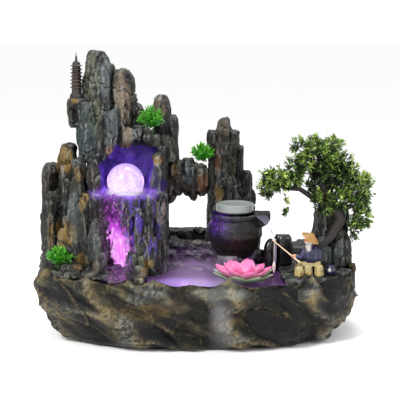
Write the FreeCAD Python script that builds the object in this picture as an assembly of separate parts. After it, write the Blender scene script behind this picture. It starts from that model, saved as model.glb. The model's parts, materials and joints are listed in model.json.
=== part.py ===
import FreeCAD, Part
import math
import os
import random

# Tabletop water fountain: a cast rockery standing in a long basin, with a lit ball turning in a cave,
# a jar that overflows into the pond, a bonsai, a fisherman, a lotus, a pagoda and grass tufts.
# Millimetres, +Z up, front towards -Y. The origin is the middle of the flat underside.

V = FreeCAD.Vector

# overall sizes
basin_length = 354.0
basin_depth = 192.0
rim_height = 76.0
shelf_rise = 81.0        # rim to the cave's floor
cliff_depth = 110.0
window_width = 47.0      # open arch between the cliff and the pillar
pillar_width = 58.0
spout_gap = 22.0         # pillar to the fisherman's ledge
ledge_width = 85.0

# walls and clearances
basin_wall = 6.0
floor_thickness = 8.0
shell_wall = 8.0         # cast rock shells
roof_thickness = 7.0
gap = 0.3                # between cast pieces
pad_radius = 9.0
pad_thickness = 1.5

# ball unit
ball_radius = 20.4
ball_film = 0.35         # water film under the ball
ball_height = 11.5       # ball centre above the cave's floor
cup_radius = 22.0
cup_height = 22.0
cup_lip = 2.5            # cup above the cave's floor
boss_wall = 4.0          # rock round and under the cup
lens_radius = 7.0
lamp_radius = 12.0
lamp_height = 16.0
jet_offset = 11.0
jet_radius = 2.0

# pump
pump_width = 40.0
pump_height = 34.0
pump_length = 30.0
cup_foot = 8.0           # suction cup height
rotor_radius = 8.0
rotor_length = 14.0
rotor_clearance = 0.6
vane_radius = 10.5
vane_width = 4.0
shaft_radius = 1.1
shaft_clearance = 0.08
strainer_depth = 12.0
strainer_wall = 2.0
dial_radius = 7.0
dial_travel_gap = 0.3

# hoses
hose_radius = 6.0
hose_bore = 4.0
barb_bore = 2.5
barb_length = 8.0

# jar and dish
jar_height = 47.7
jar_wall = 3.5
jar_rim_radius = 28.0
jar_belly_radius = 31.0
jar_foot_radius = 20.0
spout_length = 12.0
spout_width = 18.0
spout_channel = 10.0
dish_radius = 21.0
dish_height = 9.6
dish_lift_off = 1.7      # dish above the jar's rim

# mist maker
mist_radius = 18.0
mist_height = 24.0
mist_ring = 4.0

# cable outlet
grommet_bore = 3.5
grommet_neck = 6.0
grommet_flange = 8.5
grommet_lip = 2.0
grommet_height = 14.0    # above the rim, low in the hatch

# worked out
half_length = basin_length / 2
half_depth = basin_depth / 2
shelf_height = rim_height + shelf_rise
ledge_left = half_length - ledge_width
pillar_right = ledge_left - spout_gap
pillar_left = pillar_right - pillar_width
cliff_right = pillar_left - window_width
cliff_left = -half_length + basin_wall
cliff_back = half_depth - 12.0
cliff_front = cliff_back - cliff_depth
drawn_cliff = 136.0      # the cliff's columns are laid out on this width and stretch with it
cliff_stretch = (cliff_right - cliff_left) / drawn_cliff


# ---------------------------------------------------------------- shapes

def box(x0, x1, y0, y1, z0, z1):
    return Part.makeBox(x1 - x0, y1 - y0, z1 - z0, V(x0, y0, z0))


def upright(radius, z0, z1, x=0.0, y=0.0):
    return Part.makeCylinder(radius, z1 - z0, V(x, y, z0))


def lengthways(radius, y0, y1, x, z):
    """A cylinder along +Y."""
    return Part.makeCylinder(radius, y1 - y0, V(x, y0, z), V(0, 1, 0))


def join(shapes):
    return shapes[0].multiFuse(shapes[1:]).removeSplitter() if len(shapes) > 1 else shapes[0]


def main_solid(shape):
    """The largest solid of a cut, so that a crumb left beside it isn't a piece."""
    return max(shape.Solids, key=lambda s: s.Volume)


def faceted(rings):
    """A closed solid through rings of points; each ring is a scaled and shifted copy of the first."""
    count = len(rings[0])
    faces = [Part.Face(Part.makePolygon(ring + ring[:1])) for ring in (rings[0], rings[-1])]
    for low, high in zip(rings, rings[1:]):
        for k in range(count):
            n = (k + 1) % count
            faces.append(Part.Face(Part.makePolygon([low[k], low[n], high[n], high[k], low[k]])))
    solid = Part.makeSolid(Part.makeShell(faces))
    if solid.Volume < 0:
        solid.reverse()
    return solid


def stack(outline, levels, x=0.0, y=0.0):
    """levels: (z, scale, shift along X, shift along Y)."""
    rings = []
    for z, scale, dx, dy in levels:
        rings.append([V(x + dx + scale * px, y + dy + scale * py, z) for px, py in outline])
    return faceted(rings)


def polygon(radius, sides, turn=0.0):
    return [(radius * math.cos(turn + k * math.tau / sides), radius * math.sin(turn + k * math.tau / sides))
            for k in range(sides)]


def rock_outline(width, depth, sides, seed, roughness=0.14):
    """An uneven many-sided outline that fills a rectangle."""
    rng = random.Random(seed)
    start = rng.uniform(0, math.tau)
    points = []
    for k in range(sides):
        angle = start + (k + rng.uniform(-0.2, 0.2)) * math.tau / sides
        c, s = math.cos(angle), math.sin(angle)
        reach = (1 - rng.uniform(0, roughness)) / (abs(c) ** 3.5 + abs(s) ** 3.5) ** (1 / 3.5)
        points.append((width / 2 * c * reach, depth / 2 * s * reach))
    return points


def column(x0, x1, y0, y1, foot, top, seed, lean=0.0, blunt=0.5, hang=False, sides=7, taper=0.0):
    """One standing rock: straight sides, then two bevels to a blunt top. A hanging rock tapers below too.
    With a taper the rock narrows all the way up, like a pinnacle."""
    width, depth = x1 - x0, y1 - y0
    bevel = min(0.42 * min(width, depth), 0.3 * (top - foot))
    levels = [(foot, 1.0, 0, 0)]
    if hang:
        levels = [(foot, 0.35, 0, 0), (foot + bevel, 0.85, 0, 0)]
    if taper > 0:
        rise = top - foot
        levels += [(foot + 0.35 * rise, 1 - 0.25 * taper, 0.2 * lean, 0),
                   (foot + 0.75 * rise, 1 - 0.72 * taper, 0.7 * lean, 0),
                   (foot + 0.92 * rise, 1 - 0.9 * taper, 0.9 * lean, 0), (top, 0.6 * (1 - taper), lean, 0)]
    else:
        levels += [(top - 1.5 * bevel, 0.95, 0.4 * lean, 0),
                   (top - 0.5 * bevel, (0.95 + blunt) / 2 + 0.06, 0.8 * lean, 0), (top, blunt, lean, 0)]
    return stack(rock_outline(width, depth, sides, seed), levels, (x0 + x1) / 2, (y0 + y1) / 2)


def cliff_columns(rows, datum, first_seed):
    """rows: left, right, front, back on the drawn cliff, foot and top above datum, then column()'s options."""
    rocks = []
    for k, (x0, x1, y0, y1, foot, top, options) in enumerate(rows):
        rocks.append(column(cliff_left + x0 * cliff_stretch, cliff_left + x1 * cliff_stretch,
                            cliff_front + y0, cliff_front + y1, datum + foot, datum + top, first_seed + k, **options))
    return rocks


def bent_path(points, radii):
    """Straight runs joined by tangent arcs, one radius for each inner point."""
    edges = []
    at = points[0]
    for before, corner, after, radius in zip(points, points[1:], points[2:], radii):
        back = (before - corner).normalize()
        on = (after - corner).normalize()
        half_turn = (math.pi - back.getAngle(on)) / 2
        reach = radius * math.tan(half_turn)
        start, end = corner + back * reach, corner + on * reach
        middle_dir = (back + on).normalize()
        middle = corner + middle_dir * (radius / math.cos(half_turn) - radius)
        edges.append(Part.LineSegment(at, start).toShape())
        edges.append(Part.Arc(start, middle, end).toShape())
        at = end
    edges.append(Part.LineSegment(at, points[-1]).toShape())
    return Part.Wire(edges)


def hose(points, radii):
    """A hose with an open bore, end to end along the path."""
    path = bent_path(points, radii)
    start, direction = points[0], points[1] - points[0]
    solids = []
    for radius in (hose_radius, hose_bore):
        ring = Part.Wire([Part.makeCircle(radius, start, direction)])
        solids.append(path.makePipeShell([ring], True, False))
    return solids[0].cut(solids[1])


def limb(points, radii):
    """A branch: round tapering runs with a ball at each knee."""
    parts = []
    for a, b, ra, rb in zip(points, points[1:], radii, radii[1:]):
        along = b - a
        if abs(ra - rb) < 0.01:
            parts.append(Part.makeCylinder(ra, along.Length, a, along))
        else:
            parts.append(Part.makeCone(ra, rb, along.Length, a, along))
        parts.append(Part.makeSphere(rb, b))
    return join(parts)


def bush(x, y, z, rx, ry, rz, seed):
    """A faceted egg that stands for a cluster of leaves."""
    outline = rock_outline(2 * rx, 2 * ry, 9, seed, 0.08)
    levels = []
    for k in range(7):
        tilt = -0.42 * math.pi + k * 0.84 * math.pi / 6
        levels.append((z + rz * math.sin(tilt), math.cos(tilt), 0, 0))
    return stack(outline, levels, x, y)


# ---------------------------------------------------------------- basin

basin_profile = [(0.0, 0.76), (0.07, 0.85), (0.26, 0.925), (0.47, 0.96), (0.74, 1.0), (1.0, 0.985)]


def basin_scale(z):
    share = z / rim_height
    for (low, a), (high, b) in zip(basin_profile, basin_profile[1:]):
        if share <= high:
            return a + (b - a) * (share - low) / (high - low)
    return basin_profile[-1][1]


def basin_outline(inset=0.0):
    """Round at the front, squarer at the back where the rockery stands."""
    points = []
    sides = 26
    for k in range(sides):
        angle = (k + 0.5) * math.tau / sides
        c, s = math.cos(angle), math.sin(angle)
        power = 2 / 5.0 if s > 0 else 2 / 2.6
        points.append(((half_length - inset) * math.copysign(abs(c) ** power, c),
                       (half_depth - inset) * math.copysign(abs(s) ** power, s)))
    return points


def cavity(inset=0.0, top=rim_height):
    """The space inside the basin, or with an inset a plug that drops into it."""
    steps = [floor_thickness, 0.26 * rim_height, 0.47 * rim_height, 0.74 * rim_height, top]
    levels = [(z, basin_scale(z) * (0.975 if z == floor_thickness else 1.0), 0, 0) for z in steps]
    return stack(basin_outline(basin_wall + inset), levels)


def above_rim(inset=0.0):
    """Everything over the basin's outline."""
    return stack(basin_outline(inset), [(rim_height, 0.985, 0, 0), (rim_height + 400, 0.985, 0, 0)])


pad_spots = [(sx * half_length * 0.52, sy * half_depth * 0.42) for sx in (-1, 1) for sy in (-1, 1)]


def make_basin():
    shape = stack(basin_outline(), [(share * rim_height, scale, 0, 0) for share, scale in basin_profile])
    shape = shape.cut(cavity())
    for x, y in pad_spots:
        shape = shape.cut(upright(pad_radius, 0, pad_thickness, x, y))
    return main_solid(shape)


def make_pads():
    return Part.makeCompound([upright(pad_radius, 0, pad_thickness, x, y) for x, y in pad_spots])


# ---------------------------------------------------------------- cliff

bay_left = cliff_left + 54 * cliff_stretch      # pump bay behind the cascade
bay_right = cliff_right - shell_wall
bay_front = cliff_front + 22.0
bay_roof = shelf_height - roof_thickness
ball_x = cliff_left + 91.8 * cliff_stretch
ball_y = cliff_front + 29.0
ball_z = shelf_height + ball_height
cup_bottom = shelf_height + cup_lip - cup_height
port_x = ball_x + jet_offset
port_z = cup_bottom + 5.0
riser_y = ball_y + 47.0
tee_z = 66.0
cover_gap = 0.4
cover_thickness = 5.0

lower_columns = [
    (46, 63, 5, 42, -66, 80, {}),
    (60, 76, 13, 40, -66, 79, {"blunt": 0.8}),
    (74, 88, 11, 40, -66, 80, {"blunt": 0.8}),
    (85, 102, 1, 36, -66, 81, {"blunt": 0.85}),
    (99, 114, 4, 36, -66, 80, {"blunt": 0.85}),
    (112, 126, 0, 36, -66, 81, {"blunt": 0.8}),
    (122, 136, 12, 60, -66, 81, {"blunt": 0.8}),
    (62, 80, 5, 24, -66, 34, {"lean": 2.0}),
    (76, 96, 0, 24, -66, 46, {}),
    (88, 104, -7, 14, -66, 23, {}),
    (102, 118, -4, 16, -66, 14, {}),
    (116, 132, -1, 20, -66, 36, {}),
]
buttress_columns = [
    (-5, 20, 20, 82, 0, 109, {"lean": 2.0, "blunt": 0.65}),
    (3, 23, 7, 52, 0, 84, {"blunt": 0.65}),
    (11, 35, 32, 76, 0, 131, {"blunt": 0.55, "lean": 3.0}),
    (19, 36, 12, 60, 0, 112, {"blunt": 0.7}),
    (30, 48, 14, 64, 0, 117, {"blunt": 0.8}),
    (30, 47, 6, 40, 0, 92, {}),
    (3, 26, 58, 104, 0, 96, {}),
    (22, 47, 60, 108, 0, 104, {}),
]
upper_columns = [
    (44, 60, 52, 92, 38, 136, {"lean": 1.0, "blunt": 0.5}),
    (47, 79, 44, 94, 38, 153, {"lean": -4.5, "blunt": 0.46, "sides": 9}),
    (60, 80, 42, 88, 38, 139, {"lean": -1.0, "blunt": 0.7, "sides": 8}),
    (76, 97, 42, 92, 44, 132, {"hang": True, "lean": -1.0, "blunt": 0.75, "sides": 8}),
    (88, 102, 41, 88, 46, 126, {"hang": True, "lean": -2.0, "blunt": 0.7}),
    (66, 84, 33, 60, 36, 91, {"hang": True, "lean": 3.0, "blunt": 0.35}),
    (52, 72, 36, 64, 31, 74, {"hang": True}),
    (34, 60, 37, 90, 31, 100, {"blunt": 0.8, "sides": 8}),
    (24, 38, 46, 78, 70, 100.5, {"hang": True, "blunt": 0.75}),
    (97, 111, 58, 100, 40, 94, {"lean": -3.0}),
    (86, 102, 36, 64, 47, 68, {"hang": True, "blunt": 0.7}),
    (97, 114, 38, 66, 50, 72, {"hang": True, "blunt": 0.7}),
    (108, 126, 36, 90, 44, 66, {"hang": True, "blunt": 0.7}),
    (119, 140, 62, 104, 31, 103, {"lean": 2.0, "sides": 8}),
    (134, 149, 66, 102, 31, 80, {"blunt": 0.7}),
    (122, 147, 50, 84, 31, 62, {}),
    (48, 67, 12, 62, 0, 36, {}),
    (45, 66, 38, 84, 0, 52, {"blunt": 0.8}),
    (114, 136, 20, 66, 0, 42, {"taper": 0.3, "lean": 3.0}),
    (126, 138, 30, 84, 0, 50, {"blunt": 0.8}),
]


def make_lower_cliff():
    """The cascade's cliff: a shell round the pump bay, open at the back above the basin's rim."""
    core = box(cliff_left + 46 * cliff_stretch, cliff_right, cliff_front + 14, cliff_back,
               floor_thickness, shelf_height)
    rock = join([core] + cliff_columns(lower_columns, rim_height, 100))
    rock = rock.common(box(-400, cliff_right, -400, 400, 0, shelf_height))
    inside = join([cavity(gap), above_rim()])
    rock = rock.common(inside)
    bay = box(bay_left, bay_right, bay_front, cliff_back + 20, 0, bay_roof)
    boss = upright(cup_radius + boss_wall, cup_bottom - boss_wall, shelf_height - 1, ball_x, ball_y)
    rock = rock.cut(bay).fuse(boss)
    rock = rock.cut(upright(cup_radius, cup_bottom, shelf_height + 1, ball_x, ball_y))
    rock = rock.cut(upright(lamp_radius + gap, cup_bottom - lamp_height - 2, cup_bottom + 1, ball_x, ball_y))
    slot = hose_radius + 0.5
    rock = rock.cut(box(port_x - slot, port_x + slot, ball_y, ball_y + 40, port_z - slot, shelf_height + 1))
    rock = rock.cut(box(bay_right - 10, bay_right + 30, riser_y - slot, riser_y + slot, tee_z - slot, tee_z + slot))
    return main_solid(rock)


def make_buttress(neighbour):
    rock = join(cliff_columns(buttress_columns, rim_height, 200))
    rock = rock.common(above_rim())
    rock = rock.common(box(-400, cliff_left + 46 * cliff_stretch - gap, -400, 400, 0, 400))
    return main_solid(rock.cut(neighbour))


def make_upper_cliff(neighbours):
    """The peaks over the cave. The cave is open in front and lined by a back wall and two side columns."""
    wall = box(cliff_left + 46 * cliff_stretch, cliff_right, cliff_front + 58, cliff_back, shelf_height,
               shelf_height + 52)
    roof = box(cliff_left + 52 * cliff_stretch, cliff_left + 130 * cliff_stretch, cliff_front + 48,
               cliff_back - 4, shelf_height + 48, shelf_height + 62)
    rock = join([wall, roof] + cliff_columns(upper_columns, shelf_height, 300))
    rock = rock.common(box(-400, 400, -400, cliff_back, shelf_height, 600))
    hollow = box(ball_x - 24, ball_x + 30, bay_front + 48, cliff_back - shell_wall, shelf_height - 1,
                 shelf_height + 36)
    rock = rock.cut(hollow)
    for other in neighbours:
        rock = rock.cut(other)
    return main_solid(rock)


grommet_x = bay_left + 16.0
grommet_z = rim_height + grommet_height


def make_rear_cover():
    """A hatch that pulls out of the bay's mouth, with a lip to grip and a hole for the cable's grommet."""
    plate = box(bay_left + cover_gap, bay_right - cover_gap, cliff_back - cover_thickness, cliff_back,
                rim_height + cover_gap, bay_roof - cover_gap)
    lip = box(ball_x - 12, ball_x + 12, cliff_back, cliff_back + 4, bay_roof - 14, bay_roof - 8)
    hole = lengthways(grommet_neck, cliff_back - cover_thickness, cliff_back, grommet_x, grommet_z)
    return plate.fuse(lip).removeSplitter().cut(hole)


def make_grommet():
    """A rubber ring with a flange on each side of the hatch."""
    inner = cliff_back - cover_thickness
    rings = [lengthways(grommet_neck, inner - grommet_lip, cliff_back + grommet_lip, grommet_x, grommet_z)]
    for y in (inner - grommet_lip, cliff_back):
        rings.append(lengthways(grommet_flange, y, y + grommet_lip, grommet_x, grommet_z))
    return join(rings).cut(lengthways(grommet_bore, inner - 10, cliff_back + 10, grommet_x, grommet_z))


# ---------------------------------------------------------------- ledges, steps, arch and pillar

def make_left_ledge(neighbours):
    """The front left deck, cast as a cover over that end of the basin, with its pinnacles."""
    right = -half_length + 121.0
    deck_back = cliff_front + 22.0
    behind = cliff_left + 46 * cliff_stretch - gap
    footprint = join([box(-400, right, -400, deck_back, 0, rim_height), box(-400, behind, -400, 400, 0, rim_height)])
    inner = join([box(-400, right - shell_wall, -400, deck_back - shell_wall, 0, rim_height - roof_thickness),
                  box(-400, behind - shell_wall, -400, 400, 0, rim_height - roof_thickness)])
    plug = cavity(gap).common(footprint)
    under = cavity(shell_wall).common(inner)
    deck = above_rim(1.0).common(box(-400, right, -400, deck_back, rim_height, rim_height + 5))
    base = -half_length
    front = cliff_front
    rows = [
        (25, 64, -14, 9, 0, 85, {"taper": 0.7, "lean": 1.5}), (48, 66, -13, 8, 0, 80, {"taper": 0.55, "lean": -3.0}),
        (24, 46, -9, 8, 0, 46, {"blunt": 0.7}), (55, 80, -24, 2, 0, 58, {"taper": 0.6, "lean": 3.0}),
        (62, 80, -28, -8, 0, 43, {"taper": 0.3}),
        (66, 84, -34, -16, 0, 24, {}), (6, 30, -6, 12, 0, 20, {}),
        (30, 58, -38, -12, 0, 12, {}), (100, 114, -34, -20, 0, 24, {"blunt": 0.6}),
        (84, 98, -32, -20, 0, 12, {}), (110, 124, -42, -28, 0, 11, {}), (86, 110, -46, -30, 0, 8, {}),
    ]
    rocks = []
    for k, (x0, x1, y0, y1, foot, top, options) in enumerate(rows):
        rocks.append(column(base + x0, base + x1, front + y0, front + y1, rim_height + foot,
                            rim_height + top, 400 + k, **options))
    shape = join([plug, deck] + rocks).cut(under).common(join([cavity(gap), above_rim()]))
    for other in neighbours:
        shape = shape.cut(other)
    return main_solid(shape)


steps_left = cliff_right + gap
step_rows = [  # front, back, top above the rim
    (cliff_front + 86, cliff_back, 28.0),
    (cliff_front + 64, cliff_front + 86, 18.0),
    (cliff_front + 44, cliff_front + 64, 8.5),
    (cliff_front + 30, cliff_front + 44, -1.0),
]
jar_x = pillar_left + 30.0
jar_y = cliff_front + 40.0
jar_floor = rim_height + 8.0
jar_top = jar_floor + jar_height
spout_tip = jar_x + jar_rim_radius + spout_length


def make_rear_steps():
    """Ledges that climb from the pond to the window's sill, with the jar's pedestal, hollow below."""
    parts = []
    for front, back, top in step_rows:
        parts.append(box(steps_left, pillar_right, front, back, floor_thickness, rim_height + top))
    pedestal = column(jar_x - 27, jar_x + 27, jar_y - 27, jar_y + 34, floor_thickness, jar_floor, 500,
                      blunt=0.9, sides=9)
    shape = join(parts + [pedestal]).common(join([cavity(gap), above_rim()]))
    for front, back, top in step_rows[:3]:
        shape = shape.cut(box(steps_left + shell_wall, pillar_right - shell_wall, front + shell_wall,
                              cliff_back - shell_wall, 0, rim_height + top - roof_thickness))
    shape = shape.cut(upright(14, 0, jar_floor - roof_thickness, jar_x, jar_y))
    shape = shape.cut(box(jar_x - 8, jar_x + 8, jar_y, cliff_front + 66, 0, rim_height - 2 * roof_thickness))
    shape = shape.cut(upright(hose_radius + 0.5, 0, 200, jar_x, jar_y))
    shape = shape.cut(Part.makeCylinder(hose_radius + 1, 30, V(steps_left - 10, riser_y, tee_z), V(1, 0, 0)))
    return main_solid(shape)


arch_front = cliff_front + 66.0
arch_back = cliff_back - 4.0
arch_under = rim_height + 73.0
arch_top = rim_height + 112.0


def make_arch():
    """The rock bridge over the window, hung with short stalactites."""
    span = pillar_left - cliff_right
    shares = [(-0.1, 0.24, -12, -5), (0.06, 0.46, -3, -3), (0.33, 0.68, -4, 0), (0.5, 0.76, -10, -6),
              (0.68, 1.06, -4, -8)]
    rocks = [box(cliff_right, pillar_left, arch_front + 5, arch_back - 5, arch_under + 8, arch_top - 10)]
    for k, (a, b, under, over) in enumerate(shares):
        rocks.append(column(cliff_right + a * span, cliff_right + b * span, arch_front, arch_back,
                            arch_under + under, arch_top + over, 600 + k, hang=True, blunt=0.8))
    limits = box(cliff_right, pillar_left, -400, 400, 0, 400)
    return main_solid(join(rocks).common(limits))


def make_pillar(neighbours):
    """The right-hand peak behind the jar. It stands on the steps."""
    base, front, sill = pillar_left, cliff_front, rim_height
    rows = [
        (-1, 16, 70, 106, 18, 144, {"blunt": 0.75}), (7, 28, 66, 104, 18, 159, {"blunt": 0.5, "sides": 9}),
        (24, 37, 68, 106, 18, 144, {"blunt": 0.8}), (34, 41, 68, 104, 18, 126, {"blunt": 0.8}),
        (39, 53, 66, 102, 18, 97, {"blunt": 0.55}), (5, 35, 64, 92, 70, 132, {"hang": True, "blunt": 0.85}),
        (5, 23, 65, 86, 18, 85, {"blunt": 0.85}), (26, 44, 64, 88, 18, 88, {}), (18, 32, 64, 86, 18, 96, {}),
    ]
    rocks = [box(base + 5, base + 50, front + 72, cliff_back - 2, sill + 18, sill + 80)]
    for k, (x0, x1, y0, y1, foot, top, options) in enumerate(rows):
        rocks.append(column(base + x0, base + x1, front + y0, front + y1, sill + foot, sill + top, 700 + k,
                            **options))
    shape = join(rocks).common(box(base, 400, -400, cliff_back, 0, 400))
    for other in neighbours:
        shape = shape.cut(other)
    return main_solid(shape)


ledge_top = rim_height - 2.0
ledge_front = -half_depth + 14.0
tree_rock_left = half_length - 52.0
tree_rock_right = half_length - 6.0


def make_fisher_ledge():
    """The deck at the right end, with a low bank behind it."""
    plug = cavity(gap).common(box(ledge_left, 400, ledge_front, 400, 0, ledge_top))
    bank = column(ledge_left, half_length - 8, half_depth - 52, half_depth - 8, rim_height - 20, rim_height + 9, 800,
                  blunt=0.9, sides=9)
    bank = bank.common(join([cavity(gap), above_rim(2.0)])).common(box(ledge_left, 400, -400, 400, 0, 400))
    under = cavity(shell_wall).common(box(ledge_left + shell_wall, 400, ledge_front + shell_wall, 400, 0,
                                          ledge_top - roof_thickness))
    return main_solid(join([plug, bank]).cut(under).fuse(make_seat()).removeSplitter())


def make_tree_rock(neighbour):
    rows = [
        (0, 22, 34, 70, 0, 60, {"taper": 0.3, "lean": 4.0}), (10, 36, 30, 74, 0, 74, {"blunt": 0.65}),
        (26, 46, 34, 72, 0, 66, {"blunt": 0.6}), (8, 26, 22, 46, 0, 30, {}), (24, 45, 20, 50, 0, 42, {"taper": 0.3}),
        (36, 51, 24, 60, 0, 30, {"taper": 0.4, "lean": -2.0}),
    ]
    rocks = []
    for k, (x0, x1, y0, y1, foot, top, options) in enumerate(rows):
        rocks.append(column(tree_rock_left + x0, tree_rock_left + x1, cliff_front + y0, cliff_front + y1,
                            ledge_top + foot, ledge_top + top, 820 + k, **options))
    inside = cavity(gap).common(box(-400, 400, -400, 400, ledge_top, rim_height))
    shape = join(rocks).common(join([inside, above_rim(2.0)]))
    return main_solid(shape.cut(neighbour))


def make_splash_rocks():
    """Two dark slabs under the spout, standing on the basin's floor."""
    left = column(pillar_right + 1, pillar_right + 15, cliff_front + 14, cliff_front + 30, floor_thickness,
                  rim_height + 30, 900, blunt=0.3, lean=3.0)
    right = column(pillar_right + 12, ledge_left + 16, cliff_front + 25, cliff_front + 42, rim_height - 30,
                   rim_height + 33, 901, blunt=0.6)
    return left, right


# ---------------------------------------------------------------- jar and dish

def turned(profile, x, y):
    """A solid of revolution about a vertical axis; profile is (radius, z)."""
    points = [V(r, 0, z) for r, z in profile]
    face = Part.Face(Part.makePolygon(points + points[:1]))
    solid = face.revolve(V(0, 0, 0), V(0, 0, 1), 360)
    solid.translate(V(x, y, 0))
    return solid


def make_jar():
    outside = [(0, 0), (jar_foot_radius, 0), (jar_belly_radius - 5, 0.22 * jar_height),
               (jar_belly_radius, 0.5 * jar_height), (jar_belly_radius - 0.5, 0.68 * jar_height),
               (jar_rim_radius - 1.5, 0.86 * jar_height), (jar_rim_radius, 0.93 * jar_height),
               (jar_rim_radius, jar_height), (0, jar_height)]
    body = turned([(r, jar_floor + z) for r, z in outside], jar_x, jar_y)
    inside = [(0, 2 * jar_wall), (jar_foot_radius - jar_wall, 2 * jar_wall)]
    inside += [(r - jar_wall, max(z, 2 * jar_wall)) for r, z in outside[2:6]]
    inside += [(jar_rim_radius - jar_wall, 0.93 * jar_height), (jar_rim_radius - jar_wall, jar_height + 1),
               (0, jar_height + 1)]
    lip = [V(jar_x + jar_rim_radius - 8, jar_y - spout_width / 2, jar_top - 20), V(spout_tip - 4, jar_y - spout_width / 2,
           jar_top - 12), V(spout_tip, jar_y - spout_width / 2, jar_top - 6), V(spout_tip, jar_y - spout_width / 2,
           jar_top + 1.5), V(jar_x + jar_rim_radius - 8, jar_y - spout_width / 2, jar_top + 1.5)]
    body = body.fuse(Part.Face(Part.makePolygon(lip + lip[:1])).extrude(V(0, spout_width, 0)))
    body = body.cut(turned([(r, jar_floor + z) for r, z in inside], jar_x, jar_y))
    body = body.cut(box(jar_x + 10, spout_tip + 1, jar_y - spout_channel / 2, jar_y + spout_channel / 2,
                        jar_top - 6, jar_top + 5))
    body = body.cut(upright(hose_bore, jar_floor - 1, jar_floor + 20, jar_x, jar_y))
    return main_solid(body)


def make_standpipe():
    """Feeds the jar from below and carries the dish; water leaves by four side ports."""
    seat = jar_top + dish_lift_off
    foot = jar_floor - 20.0
    pipe = upright(hose_bore, foot, seat - 3, jar_x, jar_y).fuse(upright(8, seat - 3, seat, jar_x, jar_y))
    pipe = pipe.fuse(upright(8, jar_floor + 2 * jar_wall, jar_floor + 2 * jar_wall + 2, jar_x, jar_y))
    pipe = pipe.cut(upright(barb_bore, foot - 1, seat - 4, jar_x, jar_y))
    port = Part.makeCylinder(1.5, 20, V(jar_x - 10, jar_y, seat - 14), V(1, 0, 0))
    cross = Part.makeCylinder(1.5, 20, V(jar_x, jar_y - 10, seat - 14), V(0, 1, 0))
    return pipe.cut(port).cut(cross).removeSplitter()


def make_dish():
    low = jar_top + dish_lift_off
    top = low + dish_height
    profile = [(0, low), (dish_radius - 1.5, low), (dish_radius, low + 1.5), (dish_radius, top - 0.8),
               (dish_radius - 0.8, top), (dish_radius - 2.0, top), (dish_radius - 3.2, top - 1.6), (0, top - 2.6)]
    return turned(profile, jar_x, jar_y)


# ---------------------------------------------------------------- ball unit

def make_ball_unit():
    cup = upright(cup_radius, cup_bottom, shelf_height + cup_lip, ball_x, ball_y)
    cup = cup.cut(Part.makeSphere(ball_radius + ball_film, V(ball_x, ball_y, ball_z)))
    cup = cup.cut(upright(lens_radius, cup_bottom - 1, ball_z, ball_x, ball_y))
    cup = cup.cut(upright(jet_radius, port_z, ball_z, port_x, ball_y))
    cup = cup.cut(lengthways(jet_radius, ball_y, ball_y + 40, port_x, port_z))
    reach = ball_y + cup_radius - 4
    barb = lengthways(hose_bore, reach, reach + 4 + barb_length, port_x, port_z)
    cup = cup.fuse(barb.cut(lengthways(jet_radius, reach - 1, reach + 40, port_x, port_z))).removeSplitter()
    lamp = upright(lamp_radius, cup_bottom - lamp_height, cup_bottom, ball_x, ball_y)
    lamp = lamp.cut(upright(lamp_radius - 1.5, cup_bottom - lamp_height + 2, cup_bottom + 1, ball_x, ball_y))
    board = upright(lamp_radius - 1.5 - gap, cup_bottom - lamp_height + 6, cup_bottom - lamp_height + 7.6,
                    ball_x, ball_y)
    chips = []
    for k in range(3):
        turn = k * math.tau / 3
        chips.append(upright(1.6, cup_bottom - lamp_height + 7.6, cup_bottom - lamp_height + 9.6,
                             ball_x + 3.4 * math.cos(turn), ball_y + 3.4 * math.sin(turn)))
    posts = upright(4, cup_bottom - lamp_height + 2, cup_bottom - lamp_height + 6, ball_x, ball_y)
    lens = upright(lens_radius, cup_bottom - 3, cup_bottom + 3, ball_x, ball_y)
    flange = upright(lamp_radius - 1.5, cup_bottom - 3, cup_bottom, ball_x, ball_y)
    return {
        "crystal_ball": Part.makeSphere(ball_radius, V(ball_x, ball_y, ball_z)),
        "ball_cup": cup,
        "lamp_housing": lamp.fuse(posts).removeSplitter(),
        "lamp_board": board,
        "lamp_leds": Part.makeCompound(chips),
        "lamp_lens": lens.fuse(flange).removeSplitter(),
    }


# ---------------------------------------------------------------- pump and hoses

pump_x = port_x
pump_front = riser_y + 4.0                  # face that carries the strainer
pump_back = pump_front - pump_length
pump_low = floor_thickness + cup_foot
pump_top = pump_low + pump_height
axle_z = pump_low + pump_height / 2 - 1.0
plate = 3.0


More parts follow.
